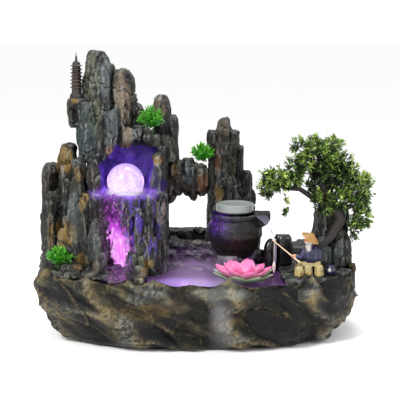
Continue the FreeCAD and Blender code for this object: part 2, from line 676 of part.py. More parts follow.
def make_pump():
    half = pump_width / 2
    body = box(pump_x - half, pump_x + half, pump_back, pump_front, pump_low, pump_top)
    body = body.makeFillet(4.0, [e for e in body.Edges if abs(e.tangentAt(0).y) > 0.9])
    chamber_back = pump_front - vane_width - 3.0
    rotor_front = chamber_back - 1.0
    rotor_back = rotor_front - rotor_length
    body = body.cut(lengthways(vane_radius + 1.5, chamber_back, pump_front + 1, pump_x, axle_z))
    body = body.cut(lengthways(rotor_radius + rotor_clearance, rotor_back - 1, chamber_back + 1, pump_x, axle_z))
    body = body.cut(lengthways(shaft_radius, rotor_back - 4, rotor_back, pump_x, axle_z))
    body = body.cut(upright(hose_bore - 0.5, axle_z, pump_top + 1, pump_x, riser_y))
    outlet = upright(hose_bore + 2.5, pump_top, pump_top + 2, pump_x, riser_y)
    outlet = outlet.fuse(upright(hose_bore, pump_top + 2, pump_top + 2 + barb_length, pump_x, riser_y))
    outlet = outlet.cut(upright(barb_bore, pump_top - 1, pump_top + 3 + barb_length, pump_x, riser_y))
    body = body.fuse(outlet).removeSplitter()

    rotor = lengthways(rotor_radius, rotor_back, rotor_front + 1.5, pump_x, axle_z)
    hub = lengthways(vane_radius, rotor_front + 1.5, rotor_front + 2.7, pump_x, axle_z)
    vanes = []
    for k in range(6):
        vane = box(2.4, vane_radius - 0.5, rotor_front + 2.7, rotor_front + 2.7 + vane_width, -0.6, 0.6)
        vane.rotate(V(0, 0, 0), V(0, 1, 0), k * 60)
        vane.translate(V(pump_x, 0, axle_z))
        vanes.append(vane)
    core = lengthways(3.0, rotor_front + 2.7, rotor_front + 2.7 + vane_width, pump_x, axle_z)
    impeller = join([rotor, hub, core] + vanes)
    impeller = impeller.cut(lengthways(shaft_radius + shaft_clearance, rotor_back - 5, pump_front + 5, pump_x, axle_z))
    shaft = lengthways(shaft_radius, rotor_back - 4, pump_front + 1.5, pump_x, axle_z)

    cover = box(pump_x - half + 2, pump_x + half - 2, pump_front, pump_front + plate, pump_low + 2, pump_top - 2)
    for k in range(6):
        turn = k * math.tau / 6
        cover = cover.cut(lengthways(2.3, pump_front - 1, pump_front + plate + 1, pump_x + 6.2 * math.cos(turn),
                                     axle_z + 6.2 * math.sin(turn)))
    cover = cover.cut(lengthways(shaft_radius, pump_front - 1, pump_front + 1.5, pump_x, axle_z))
    cups = []
    for sx in (-1, 1):
        for sy in (pump_back + 6, pump_front - 6):
            x = pump_x + sx * (half - 8)
            cup = Part.makeCone(7.0, 3.0, cup_foot - 3, V(x, sy, floor_thickness))
            cups.append(cup.fuse(upright(3.0, pump_low - 3, pump_low, x, sy)).removeSplitter())
    return {
        "pump_housing": body, "impeller": impeller, "impeller_shaft": shaft,
        "impeller_cover": cover, "suction_cups": Part.makeCompound(cups),
    }


def make_strainer():
    """Slotted intake cap that pulls off, and the flow dial that turns on its face."""
    half = pump_width / 2
    back = pump_front + plate + gap
    front = back + strainer_depth
    cap = box(pump_x - half, pump_x + half, back, front, pump_low, pump_top)
    cap = cap.makeFillet(4.0, [e for e in cap.Edges if abs(e.tangentAt(0).y) > 0.9])
    cap = cap.cut(box(pump_x - half + strainer_wall, pump_x + half - strainer_wall, back - 1, front - strainer_wall,
                      pump_low + strainer_wall, pump_top - strainer_wall))
    for side in (-1, 1):
        for k in range(3):
            x = pump_x + side * (10.5 + 2.6 * k)
            cap = cap.cut(box(x - 0.7, x + 0.7, front - 4, front + 1, pump_low + 6, pump_top - 6))
    intake = lengthways(dial_radius - 3, front - 4, front + 1, pump_x, axle_z)
    keep = box(pump_x - 3, pump_x + 3, front - 5, front + 1, axle_z - 9, axle_z + 9)
    cap = cap.cut(intake.cut(keep)).cut(lengthways(2.0 + shaft_clearance, front - 5, front + 1, pump_x, axle_z))
    dial = lengthways(dial_radius, front + dial_travel_gap, front + dial_travel_gap + 2, pump_x, axle_z)
    dial = dial.fuse(lengthways(2.0, front - strainer_wall, front + 1, pump_x, axle_z))
    dial = dial.fuse(box(pump_x - 1, pump_x + 1, front + 2, front + dial_travel_gap + 5, axle_z - 5, axle_z + 5))
    return cap, dial.removeSplitter()


def make_hoses():
    reach = tee_z + hose_radius + 1
    tee = upright(hose_bore, reach - 1, reach + barb_length, pump_x, riser_y)
    side = Part.makeCylinder(hose_bore, hose_radius + 1 + barb_length, V(pump_x, riser_y, tee_z), V(1, 0, 0))
    collar = upright(hose_radius, pump_top + 2, reach, pump_x, riser_y)
    tee = join([tee, side, collar, Part.makeCylinder(hose_radius, hose_radius + 1, V(pump_x, riser_y, tee_z), V(1, 0, 0))])
    tee = tee.cut(upright(hose_bore, pump_top + 1, pump_top + 2 + barb_length, pump_x, riser_y))
    tee = tee.cut(upright(barb_bore, 0, reach + barb_length + 1, pump_x, riser_y))
    tee = tee.cut(Part.makeCylinder(barb_bore, 40, V(pump_x, riser_y, tee_z), V(1, 0, 0)))
    bend = 16.0
    ball_hose = hose([V(pump_x, riser_y, reach), V(pump_x, riser_y, port_z), V(port_x, ball_y + cup_radius, port_z)],
                     [bend])
    start_x = pump_x + hose_radius + 1
    run_z = tee_z - 20.0
    turn_y = riser_y - 6.0
    jar_hose = hose([V(start_x, riser_y, tee_z), V(steps_left + 14, riser_y, tee_z), V(steps_left + 34, turn_y, run_z),
                     V(jar_x, turn_y, run_z), V(jar_x, jar_y, run_z), V(jar_x, jar_y, jar_floor - 12)],
                    [16.0, 14.0, 14.0, 12.0])
    return {"tee_fitting": tee.removeSplitter(), "ball_hose": ball_hose, "jar_hose": jar_hose}


# ---------------------------------------------------------------- mist maker

mist_x = cliff_right + 24.0
mist_y = -half_depth + 54.0


def make_mist_maker():
    low = floor_thickness
    top = low + mist_height
    body = upright(mist_radius, low, top, mist_x, mist_y)
    body = body.cut(upright(mist_radius - 7, top - 3, top + 1, mist_x, mist_y))
    disc = upright(mist_radius - 7, top - 3, top - 1.8, mist_x, mist_y)
    cap = upright(mist_radius, top, top + mist_ring, mist_x, mist_y)
    cap = cap.cut(upright(mist_radius - 8, top - 1, top + mist_ring + 1, mist_x, mist_y))
    sensor_x = mist_x + mist_radius - 4
    cap = cap.cut(upright(1.2, top - 1, top + mist_ring + 1, sensor_x, mist_y))
    leds = []
    for k in range(11):
        turn = (k + 1) * math.tau / 12
        leds.append(upright(1.5, top + mist_ring, top + mist_ring + 2, mist_x + (mist_radius - 4) * math.cos(turn),
                            mist_y + (mist_radius - 4) * math.sin(turn)))
    return {
        "mist_body": body, "mist_disc": disc, "mist_ring": cap, "mist_leds": Part.makeCompound(leds),
        "mist_sensor": upright(1.2, top, top + mist_ring + 8, sensor_x, mist_y),
    }


# ---------------------------------------------------------------- pagoda, plants and fisherman

pagoda_x = cliff_left + 36.0 * cliff_stretch
pagoda_y = cliff_front + 61.0
pagoda_foot = shelf_height + 100.5
pagoda_tiers = 7


def make_pagoda():
    """Eight-sided tower: seven flared eaves, a roof and a spire."""
    plinth = stack(rock_outline(17, 16, 8, 950), [(pagoda_foot, 1.0, 0, 0), (pagoda_foot + 5, 0.95, 0, 0),
                                                  (pagoda_foot + 6.5, 0.8, 0, 0)], pagoda_x, pagoda_y)
    storey, foot = 4.0, pagoda_foot + 6.5
    ground = 6.0
    levels = [(foot, 1.02, 0, 0), (foot + ground, 0.96, 0, 0)]
    for k in range(pagoda_tiers):
        z = foot + ground + k * storey
        body = 0.96 - 0.03 * k
        levels += [(z + 0.3, body + 0.42, 0, 0), (z + 0.9, body + 0.36, 0, 0), (z + 2.0, body - 0.02, 0, 0),
                   (z + storey, body - 0.03, 0, 0)]
    top = foot + ground + pagoda_tiers * storey
    levels += [(top + 3.0, 0.2, 0, 0)]
    tower = stack(polygon(6.0, 8, math.pi / 8), levels, pagoda_x, pagoda_y)
    spire = turned([(0, top + 3), (1.1, top + 3), (1.7, top + 4.2), (1.0, top + 5.2), (1.4, top + 6.4),
                    (0.6, top + 8.0), (0.3, top + 12.4), (0, top + 12.4)], pagoda_x, pagoda_y)
    return {"pagoda_tower": join([plinth, tower]), "pagoda_spire": spire}


tree_x = half_length - 35.0
tree_y = cliff_front + 26.0


def make_tree(rocks):
    foot = ledge_top
    trunk = limb([V(tree_x - 10, tree_y - 14, foot + 22), V(tree_x + 4, tree_y - 10, foot + 34),
                  V(tree_x + 17, tree_y - 2, foot + 53), V(tree_x + 6, tree_y + 5, foot + 73),
                  V(tree_x - 3, tree_y + 6, foot + 92)], [3.2, 4.2, 5.6, 7.0, 5.5])
    branches = [
        limb([V(tree_x + 1, tree_y + 4, foot + 80), V(tree_x - 16, tree_y + 2, foot + 78),
              V(tree_x - 29, tree_y - 1, foot + 87), V(tree_x - 44, tree_y - 3, foot + 88),
              V(tree_x - 58, tree_y - 4, foot + 94)], [3.6, 3.0, 2.6, 2.0, 1.3]),
        limb([V(tree_x - 3, tree_y + 6, foot + 88), V(tree_x - 6, tree_y + 6, foot + 110),
              V(tree_x - 10, tree_y + 4, foot + 130)], [4.4, 3.0, 1.4]),
        limb([V(tree_x + 2, tree_y + 6, foot + 84), V(tree_x + 20, tree_y + 6, foot + 98),
              V(tree_x + 30, tree_y + 5, foot + 96)], [3.6, 2.4, 1.4]),
        limb([V(tree_x + 14, tree_y + 1, foot + 62), V(tree_x + 29, tree_y - 1, foot + 68),
              V(tree_x + 38, tree_y - 1, foot + 60)], [3.4, 2.2, 1.4]),
    ]
    branches = Part.makeCompound([main_solid(branch.cut(trunk)) for branch in branches])
    for rock in rocks:
        trunk = trunk.cut(rock)
        branches = branches.cut(rock)
    return main_solid(trunk), branches


def make_foliage(wood, rocks):
    """Four leaf masses, each a closed solid that the branches pass into."""
    z = ledge_top
    masses = {
        "foliage_crown": [(tree_x - 8, tree_y + 4, z + 126, 26, 24, 20)],
        "foliage_heart": [(tree_x + 6, tree_y + 12, z + 100, 22, 22, 15)],
        "foliage_left": [(tree_x - 54, tree_y - 2, z + 97, 19, 17, 16), (tree_x - 31, tree_y + 1, z + 109, 14, 15, 14)],
        "foliage_right": [(tree_x + 38, tree_y + 3, z + 84, 19, 20, 22)],
        "foliage_low": [(tree_x + 41, tree_y + 4, z + 47, 13, 14, 16)],
    }
    made, taken = {}, list(wood) + list(rocks)
    for k, (name, eggs) in enumerate(masses.items()):
        shape = join([bush(*egg, 1000 + k) for egg in eggs])
        for other in taken:
            shape = shape.cut(other)
        made[name] = main_solid(shape)
        taken.append(made[name])
    return made


def make_tufts(rocks):
    spots = {
        "grass_left": (-half_length + 29, cliff_front - 22, rim_height + 5, 13, 25),
        "grass_peak": (cliff_left + 119 * cliff_stretch, cliff_front + 46, shelf_height + 60, 12, 26),
        "grass_arch": (cliff_right + 0.84 * (pillar_left - cliff_right), arch_front + 4, arch_top - 8, 12, 24),
    }
    made = {}
    for k, (name, (x, y, z, radius, height)) in enumerate(spots.items()):
        levels = [(z, 0.35, 0, 0), (z + 0.3 * height, 0.8, 0, 0), (z + 0.7 * height, 1.0, 0, 0), (z + height, 0.6, 0, 0)]
        shape = stack(polygon(radius, 10), levels, x, y)
        for rock in rocks:
            shape = shape.cut(rock)
        made[name] = main_solid(shape)
    return made


water_level = rim_height - 8.0
lotus_x = ledge_left - 42.5
lotus_y = -half_depth + 44.0
lotus_radius = 34.0


def make_lotus():
    """A floating foam flower: a ring of leaves under a bowl of petals."""
    low = water_level - 1.0
    leaves = stack(polygon(lotus_radius, 12), [(low, 0.7, 0, 0), (low + 3, 0.85, 0, 0), (low + 6, 1.0, 0, 0)],
                   lotus_x, lotus_y)
    petals = stack(polygon(lotus_radius * 0.93, 12), [(low + 6, 0.85, 0, 0), (low + 13, 1.0, 0, 0),
                                                      (low + 21, 0.92, 0, 0)], lotus_x, lotus_y)
    bowl = stack(polygon(lotus_radius * 0.7, 12), [(low + 12, 0.5, 0, 0), (low + 22, 1.0, 0, 0)], lotus_x, lotus_y)
    return {"lotus_leaves": leaves, "lotus_petals": petals.cut(bowl)}


fisher_x = ledge_left + 28.0
fisher_y = cliff_front - 16.0
rod_tip = V(pillar_right + 12.0, cliff_front + 4.0, rim_height + 32.0)
pin_radius = 0.5         # the line's ring hangs on this pin at the rod's tip
pin_clearance = 0.05
ring_width = 1.0
line_drop = 23.5
fish_length = 13.0


def make_seat():
    return column(fisher_x - 8, fisher_x + 14, fisher_y + 2, fisher_y + 18, ledge_top - 4, ledge_top + 14, 960,
                  blunt=0.9)


def make_fisherman():
    foot = ledge_top
    hand = V(fisher_x - 18, fisher_y - 2, foot + 20.5)
    seat = make_seat()
    coat = stack(polygon(12.5, 10), [(foot + 14, 0.9, 0, 0), (foot + 19, 1.0, 0, 0), (foot + 28, 0.8, 0.5, 0),
                                     (foot + 33, 0.36, 1, 0)], fisher_x + 2, fisher_y + 6)
    head = Part.makeSphere(4.6, V(fisher_x - 0.5, fisher_y + 3.5, foot + 36.5))
    arm = limb([V(fisher_x - 5, fisher_y + 1, foot + 27), V(fisher_x - 10, fisher_y - 3, foot + 20),
                hand + V(0, 0, 0.5)], [3.2, 3.0, 2.0])
    legs = []
    for x, out in ((fisher_x - 11, -4), (fisher_x - 1, 4), (fisher_x + 10, -2)):
        legs.append(column(x - 5.5, x + 5.5, fisher_y - 9 + out * 0.5, fisher_y + 4, foot, foot + 12, 970 + out))
    legs.append(box(fisher_x - 12, fisher_x + 12, fisher_y - 4, fisher_y + 5, foot + 10, foot + 15))
    trousers = join(legs).cut(seat).cut(coat)
    body = join([coat.cut(seat), head, arm]).cut(trousers)
    tilt = V(0.5, -0.2, 0.84).normalize()
    centre = V(fisher_x + 1.2, fisher_y + 3.4, foot + 39.6)
    hat = Part.makeCone(10.5, 1.2, 6.0, centre, tilt).fuse(Part.makeCylinder(10.5, 0.8, centre - tilt * 0.8, tilt))
    body = body.cut(hat)
    creel = turned([(0, foot), (5.0, foot), (5.6, foot + 4), (3.6, foot + 9), (3.6, foot + 10), (0, foot + 10)],
                   fisher_x + 24, fisher_y + 4)
    butt = hand + (hand - rod_tip).normalize() * 12.0
    along = rod_tip - butt
    rod = Part.makeCone(0.9, pin_radius, along.Length, butt, along)
    rod = join([rod, Part.makeCylinder(pin_radius, 3.2, rod_tip, V(1, 0, 0)),
                Part.makeCylinder(2 * pin_radius, 0.5, rod_tip + V(3.2, 0, 0), V(1, 0, 0))])
    body = body.cut(rod)
    trousers = trousers.cut(rod)
    return {
        "fisherman_body": main_solid(body), "fisherman_trousers": main_solid(trousers),
        "fisherman_hat": hat.removeSplitter(), "creel": creel, "fishing_rod": rod,
    }


def make_line():
    """The line hangs by a small ring from the pin at the rod's tip and ends in the fish."""
    top = rod_tip + V(2.0, 0, 0)
    ring = Part.makeCylinder(2.2 * pin_radius, ring_width, top - V(ring_width / 2, 0, 0), V(1, 0, 0))
    low = top.z - line_drop
    line = ring.fuse(upright(0.35, low, top.z - 1.5 * pin_radius, top.x, top.y)).removeSplitter()
    line = line.cut(Part.makeCylinder(pin_radius + pin_clearance, 4, top - V(2, 0, 0), V(1, 0, 0)))
    fish = stack(polygon(2.0, 8), [(low - fish_length, 0.3, 0, 0), (low - 0.75 * fish_length, 0.8, 0, 0),
                                   (low - 0.4 * fish_length, 1.0, 0, 0), (low, 0.35, 0, 0)], top.x, top.y)
    return line, fish


# ---------------------------------------------------------------- assembly

def build():
    nodes = {"basin": make_basin(), "anti_slip_pads": make_pads(), "cable_grommet": make_grommet()}
    lower = make_lower_cliff()
    buttress = make_buttress(lower)
    arch = make_arch()
    steps = make_rear_steps()
    upper = make_upper_cliff([lower, buttress, arch])
    pillar = make_pillar([steps, arch])
    ledge = make_fisher_ledge()
    tree_rock = make_tree_rock(ledge)
    left_ledge = make_left_ledge([lower, buttress])
    left_slab, right_slab = make_splash_rocks()
    nodes.update({
        "lower_cliff": lower, "left_buttress": buttress, "upper_cliff": upper, "rear_cover": make_rear_cover(),
        "left_ledge": left_ledge, "rear_steps": steps, "rock_arch": arch, "right_pillar": pillar,
        "fisher_ledge": ledge, "tree_rock": tree_rock,
        "splash_rock_left": left_slab.cut(steps).cut(ledge),
        "splash_rock_right": main_solid(right_slab.cut(left_slab).cut(ledge).cut(steps)),
        "stone_jar": make_jar().cut(pillar).cut(steps), "jar_standpipe": make_standpipe(), "jar_dish": make_dish(),
    })
    nodes.update(make_ball_unit())
    nodes.update(make_pump())
    nodes["pump_strainer"], nodes["flow_dial"] = make_strainer()
    nodes.update(make_hoses())
    nodes.update(make_mist_maker())
    nodes.update(make_pagoda())
    trunk, branches = make_tree([tree_rock, ledge])
    nodes["tree_trunk"], nodes["tree_branches"] = trunk, branches
    nodes.update(make_foliage([trunk, branches], [tree_rock]))
    nodes.update(make_tufts([upper, arch, pillar, left_ledge, lower, buttress]))
    nodes.update(make_lotus())
    nodes.update(make_fisherman())
    nodes["fishing_line"], nodes["fish"] = make_line()
    return nodes


def save(nodes):
    os.makedirs("parts", exist_ok=True)
    for name, shape in nodes.items():
        if not shape.isValid():
            print("not valid:", name)
        shape.exportStep("parts/" + name + ".step")
    print(len(nodes), "nodes written")


save(build())
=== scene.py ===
import bpy
import bmesh
import json
import math
import random
import numpy as np
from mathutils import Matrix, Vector
from mathutils.bvhtree import BVHTree


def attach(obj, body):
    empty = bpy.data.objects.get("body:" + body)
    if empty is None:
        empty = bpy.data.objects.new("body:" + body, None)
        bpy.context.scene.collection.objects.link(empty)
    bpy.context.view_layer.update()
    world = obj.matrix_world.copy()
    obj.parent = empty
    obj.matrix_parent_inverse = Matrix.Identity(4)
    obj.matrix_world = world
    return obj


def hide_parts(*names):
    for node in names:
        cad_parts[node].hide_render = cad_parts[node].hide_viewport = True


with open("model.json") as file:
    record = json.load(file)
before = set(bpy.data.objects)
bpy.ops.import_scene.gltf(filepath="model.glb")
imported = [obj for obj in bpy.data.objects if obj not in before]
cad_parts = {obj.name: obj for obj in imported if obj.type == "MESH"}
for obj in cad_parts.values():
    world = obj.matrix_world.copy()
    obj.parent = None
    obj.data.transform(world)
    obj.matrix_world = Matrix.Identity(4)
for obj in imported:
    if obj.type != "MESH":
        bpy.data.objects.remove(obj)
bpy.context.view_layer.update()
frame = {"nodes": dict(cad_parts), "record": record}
nodes = frame["nodes"]
mm = 0.001


def report(stage):
    print("scene:", stage, flush=True)


# ---------- colour and noise

def srgb(r, g, b):
    return np.array([((c / 255 + 0.055) / 1.055) ** 2.4 for c in (r, g, b)])


def hashed(cell, seed):
    n = cell[:, 0] * 374761393 + cell[:, 1] * 668265263 + cell[:, 2] * 1440670441 + seed * 1274126177
    n = n & 0xFFFFFFFF
    n = ((n ^ (n >> 13)) * 1274126177) & 0xFFFFFFFF
    return ((n ^ (n >> 16)) & 0xFFFFFF) / 0xFFFFFF


def noise(p, size, seed):  # smooth value noise, -1 to 1
    q = p / np.array(size, float)
    low = np.floor(q).astype(np.int64)
    f = q - low
    f = f * f * f * (f * (f * 6 - 15) + 10)
    total = np.zeros(len(p))
    for k in range(8):
        corner = np.array([k & 1, (k >> 1) & 1, (k >> 2) & 1])
        weight = np.prod(np.where(corner == 1, f, 1 - f), axis=1)
        total += weight * hashed(low + corner, seed)
    return total * 2 - 1


def fractal(p, size, seed, octaves=4, gain=0.5):
    size = np.array(size, float) * np.ones(3)
    total, reach, weight = np.zeros(len(p)), 0.0, 1.0
    for k in range(octaves):
        total += weight * noise(p, size / 2 ** k, seed + 17 * k)
        reach += weight
        weight *= gain
    return total / reach


def cells(p, size, seed):  # nearest and second distances, the cell's random number, offset from its centre
    q = p / np.array(size, float)
    low = np.floor(q).astype(np.int64)
    first, second = np.full(len(p), 9.0), np.full(len(p), 9.0)
    name, offset = np.zeros(len(p)), np.zeros((len(p), 3))
    for dx in (-1, 0, 1):
        for dy in (-1, 0, 1):
            for dz in (-1, 0, 1):
                cell = low + np.array([dx, dy, dz])
                centre = cell + np.stack([hashed(cell, seed + k) for k in (1, 2, 3)], 1)
                away = q - centre
                d = np.sqrt((away ** 2).sum(1))
                nearer = d < first
                second = np.where(nearer, first, np.minimum(second, d))
                name = np.where(nearer, hashed(cell, seed + 4), name)
                offset = np.where(nearer[:, None], away, offset)
                first = np.where(nearer, d, first)
    return first, second, name, offset


def ramp(x, low, high):
    t = np.clip((x - low) / (high - low), 0, 1)
    return t * t * (3 - 2 * t)


def mix(a, b, t):
    t = np.asarray(t)
    return a + (b - a) * (t[:, None] if t.ndim else t)


# ---------- meshes

def readPoints(mesh):
    p = np.zeros(len(mesh.vertices) * 3)
    mesh.vertices.foreach_get("co", p)
    return p.reshape(-1, 3)


def readNormals(mesh):
    n = np.zeros(len(mesh.vertices) * 3)
    mesh.vertex_normals.foreach_get("vector", n)
    return n.reshape(-1, 3)


def writePoints(mesh, p):
    mesh.vertices.foreach_set("co", p.astype(np.float32).ravel())
    mesh.update()


def edgePairs(mesh):
    e = np.zeros(len(mesh.edges) * 2, np.int32)
    mesh.edges.foreach_get("vertices", e)
    return e.reshape(-1, 2)


def smoothed(values, edges, rounds, share=0.5):
    count = len(values)
    degree = np.bincount(edges.ravel(), minlength=count).clip(1)
    values = values.copy()
    columns = values if values.ndim > 1 else values[:, None]
    for _ in range(rounds):
        for k in range(columns.shape[1]):
            c = columns[:, k]
            total = (np.bincount(edges[:, 0], c[edges[:, 1]], count)
                     + np.bincount(edges[:, 1], c[edges[:, 0]], count))
            columns[:, k] = c + share * (total / degree - c)
    return columns if values.ndim > 1 else columns[:, 0]


def showPiece(name, mesh, material, body="fountain", replaces=(), smooth=True):
    piece = bpy.data.objects.new(name, mesh)
    bpy.context.scene.collection.objects.link(piece)
    mesh.materials.clear()
    mesh.materials.append(material)
    if smooth:
        mesh.polygons.foreach_set("use_smooth", [True] * len(mesh.polygons))
    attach(piece, body)
    if replaces:
        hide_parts(*replaces)
    return piece


def setColour(mesh, colours, name="paint", alpha=1.0):
    layer = mesh.color_attributes.new(name, "FLOAT_COLOR", "POINT")
    rgba = np.ones((len(mesh.vertices), 4), np.float32)
    rgba[:, :3] = np.clip(colours, 0, 1)
    rgba[:, 3] = alpha
    layer.data.foreach_set("color", rgba.ravel())


def meshFrom(name, points, faces):  # points in mm
    mesh = bpy.data.meshes.new(name)
    mesh.from_pydata([tuple(q) for q in np.asarray(points, float) * mm], [], faces)
    mesh.validate()
    mesh.update()
    return mesh


def remeshedNode(node, voxel):
    work = bpy.data.objects.new("work", nodes[node].data.copy())
    bpy.context.scene.collection.objects.link(work)
    bm = bmesh.new()
    bm.from_mesh(work.data)
    bmesh.ops.remove_doubles(bm, verts=bm.verts, dist=0.00001)
    bmesh.ops.recalc_face_normals(bm, faces=bm.faces)
    bm.to_mesh(work.data)
    bm.free()
    modifier = work.modifiers.new("grid", "REMESH")
    modifier.mode = "VOXEL"
    modifier.voxel_size = voxel * mm
    modifier.adaptivity = 0.0
    ready = bpy.context.evaluated_depsgraph_get()
    mesh = bpy.data.meshes.new_from_object(work.evaluated_get(ready))
    bpy.data.objects.remove(work)
    mesh.name = node + "_mesh"
    for layer in list(mesh.attributes):
        if layer.name not in ("position", ".edge_verts", ".corner_vert", ".corner_edge",
                              "sharp_face", "sharp_edge"):
            if not layer.is_required and not layer.is_internal:
                mesh.attributes.remove(layer)
    return mesh


# ---------- materials

def newMaterial(name, roughness=0.5, specular=0.5):
    material = bpy.data.materials.new(name)
    material.use_nodes = True
    tree = material.node_tree
    shader = tree.nodes["Principled BSDF"]
    shader.inputs["Roughness"].default_value = roughness
    shader.inputs["Specular IOR Level"].default_value = specular
    return material, tree, shader


def addNode(tree, kind, **values):
    node = tree.nodes.new(kind)
    for key, value in values.items():
        if key in node.inputs:
            node.inputs[key].default_value = value
        else:
            setattr(node, key, value)
    return node


def objectNoise(tree, scale, detail=3.0, stretch=(1, 1, 1)):
    where = addNode(tree, "ShaderNodeTexCoord")
    mapping = addNode(tree, "ShaderNodeMapping")
    mapping.inputs["Scale"].default_value = stretch
    tree.links.new(where.outputs["Object"], mapping.inputs["Vector"])
    texture = addNode(tree, "ShaderNodeTexNoise", Scale=scale, Detail=detail)
    tree.links.new(mapping.outputs["Vector"], texture.inputs["Vector"])
    return texture


def bumpFrom(tree, shader, texture, strength, distance):
    bump = addNode(tree, "ShaderNodeBump", Strength=strength, Distance=distance)
    tree.links.new(texture.outputs["Fac"], bump.inputs["Height"])
    tree.links.new(bump.outputs["Normal"], shader.inputs["Normal"])


def paintedMaterial(name, roughness=0.6, grain=0.35, bump=0.35, bumpSize=0.0006, specular=0.4, scale=900.0,
                    glow=False):
    material, tree, shader = newMaterial(name, roughness, specular)
    paint = addNode(tree, "ShaderNodeAttribute", attribute_name="paint")
    speckle = objectNoise(tree, scale, 4.0)
    spread = addNode(tree, "ShaderNodeMapRange")
    for key, value in (("From Min", 0.3), ("From Max", 0.7), ("To Min", 1 - grain), ("To Max", 1 + grain)):
        spread.inputs[key].default_value = value
    tree.links.new(speckle.outputs["Fac"], spread.inputs["Value"])
    scaled = addNode(tree, "ShaderNodeVectorMath", operation="SCALE")
    tree.links.new(paint.outputs["Color"], scaled.inputs[0])
    tree.links.new(spread.outputs["Result"], scaled.inputs["Scale"])
    tree.links.new(scaled.outputs["Vector"], shader.inputs["Base Color"])
    bumpFrom(tree, shader, objectNoise(tree, scale * 0.8, 5.0), bump, bumpSize)
    if glow:
        # painted light: the glow attribute is emitted by the surface
        shine = addNode(tree, "ShaderNodeAttribute", attribute_name="glow")
        tree.links.new(shine.outputs["Color"], shader.inputs["Emission Color"])
        shader.inputs["Emission Strength"].default_value = 1.0
    return material


def plainMaterial(name, colour, roughness=0.5, metallic=0.0, alpha=1.0, emission=None, strength=0.0,
                  variation=0.08):
    material, tree, shader = newMaterial(name, roughness)
    texture = objectNoise(tree, 300.0, 2.0)
    blend = addNode(tree, "ShaderNodeMix", data_type="RGBA")
    dark = [c * (1 - variation) for c in colour]
    light = [min(1, c * (1 + variation)) for c in colour]
    blend.inputs[6].default_value = (*dark, 1)
    blend.inputs[7].default_value = (*light, 1)
    tree.links.new(texture.outputs["Fac"], blend.inputs[0])
    tree.links.new(blend.outputs[2], shader.inputs["Base Color"])
    shader.inputs["Metallic"].default_value = metallic
    shader.inputs["Alpha"].default_value = alpha
    if emission is not None:
        shader.inputs["Emission Color"].default_value = (*emission, 1)
        shader.inputs["Emission Strength"].default_value = strength
    return material


# ---------- rock

tones = {
    "slate": srgb(80, 86, 88), "charcoal": srgb(32, 34, 36), "moss": srgb(82, 86, 66),
    "ochre": srgb(132, 106, 56),
    "rust": srgb(104, 66, 36), "sand": srgb(110, 96, 80), "pale": srgb(146, 150, 144),
    "olive": srgb(58, 54, 34),
    # crack: near black, for real cracks and also for the painted shade in hollows
    "teal": srgb(48, 64, 68), "crack": srgb(6, 6, 7), "plum": srgb(26, 19, 28), "brick": srgb(44, 30, 26),
    "caveShade": srgb(44, 28, 84), "bronze": srgb(148, 130, 92), "umber": srgb(44, 38, 31),
    "stone": srgb(50, 50, 46),
    "pondLampTint": srgb(70, 50, 78),
}
# top: how much upward-facing surfaces are painted lighter, painted light from above; edge and edgeShare: the
# pale edge colour, drybrushed paint and painted highlight
rockStyles = {  # sizes in mm; the long side of cell, fold and flute sets the direction of the rock's grain
    "hull": {"voxel": 1.6, "round": 3, "warp": 3.0, "cell": (60, 60, 26), "step": 1.6,
             "tilt": 2.4, "groove": 0.0,
             "fold": (74, 74, 28), "foldStep": 8.5, "slant": 0.45, "flute": (24, 24, 9), "fluteStep": 1.3,
             "grain": 0.55, "mixes": (("charcoal", "stone", 30), ("charcoal", "olive", 44)), "edge": "bronze",
             "edgeShare": 0.35, "top": 0.35},
    "column": {"voxel": 1.2, "round": 1, "warp": 1.5, "cell": (13, 15, 46), "step": 1.5,
               "tilt": 2.4, "groove": 0.9,
               "fold": (13, 13, 70), "foldStep": 1.3, "slant": 0.05, "flute": (4.5, 4.5, 34),
               "fluteStep": 0.6,
               "grain": 0.3, "mixes": (("charcoal", "stone", 16), ("stone", "umber", 22)), "edge": "pale",
               "edgeShare": 0.42, "top": 0.15},
    "ledge": {"voxel": 1.4, "round": 2, "warp": 3.0, "cell": (26, 20, 13), "step": 2.4,
              "tilt": 2.8, "groove": 1.2,
              "fold": (30, 30, 11), "foldStep": 2.0, "slant": 0.25, "flute": (9, 9, 4), "fluteStep": 0.7,
              "grain": 0.35, "mixes": (("charcoal", "stone", 18), ("charcoal", "umber", 26)), "edge": "pale",
              "edgeShare": 0.4, "top": 0.2},
    "wet": {"voxel": 1.1, "round": 2, "warp": 0.9, "cell": (14, 14, 40), "step": 0.5,
            "tilt": 0.6, "groove": 0.0,
            "fold": (10, 10, 40), "foldStep": 0.7, "slant": 0.1, "flute": (5, 5, 20), "fluteStep": 0.3,
            "grain": 0.15, "mixes": (("crack", "plum", 14), ("plum", "plum", 14)), "edge": "plum",
            "edgeShare": 0.3, "top": 0.0},
    "clay": {"voxel": 0.9, "round": 2, "warp": 0.3, "cell": (30, 30, 30), "step": 0.2,
             "tilt": 0.1, "groove": 0.0,
             "fold": (24, 24, 7), "foldStep": 0.4, "slant": 0.0, "flute": (3.5, 3.5, 3.5), "fluteStep": 0.35,
             "grain": 0.35, "mixes": (("charcoal", "stone", 12), ("charcoal", "umber", 20)), "edge": "pale",
             "edgeShare": 0.35, "top": 0.0},
    "carved": {"voxel": 0.42, "round": 1, "warp": 0.05, "cell": (9, 9, 9), "step": 0.0,
               "tilt": 0.0, "groove": 0.0,
               "fold": (5, 5, 5), "foldStep": 0.05, "slant": 0.0, "flute": (2, 2, 2), "fluteStep": 0.05,
               "grain": 0.03, "mixes": (("brick", "umber", 8), ("brick", "plum", 12)), "edge": "sand",
               "edgeShare": 0.6, "top": 0.0},
}
nodeShade = {"basin": 0.66, "left_buttress": 0.66, "left_ledge": 0.66, "upper_cliff": 0.82, "rock_arch": 0.8,
             "right_pillar": 0.52, "tree_rock": 0.75, "fisher_ledge": 0.8, "splash_rock_left": 0.6,
             "splash_rock_right": 0.6, "stone_jar": 0.4, "rear_steps": 1.5}
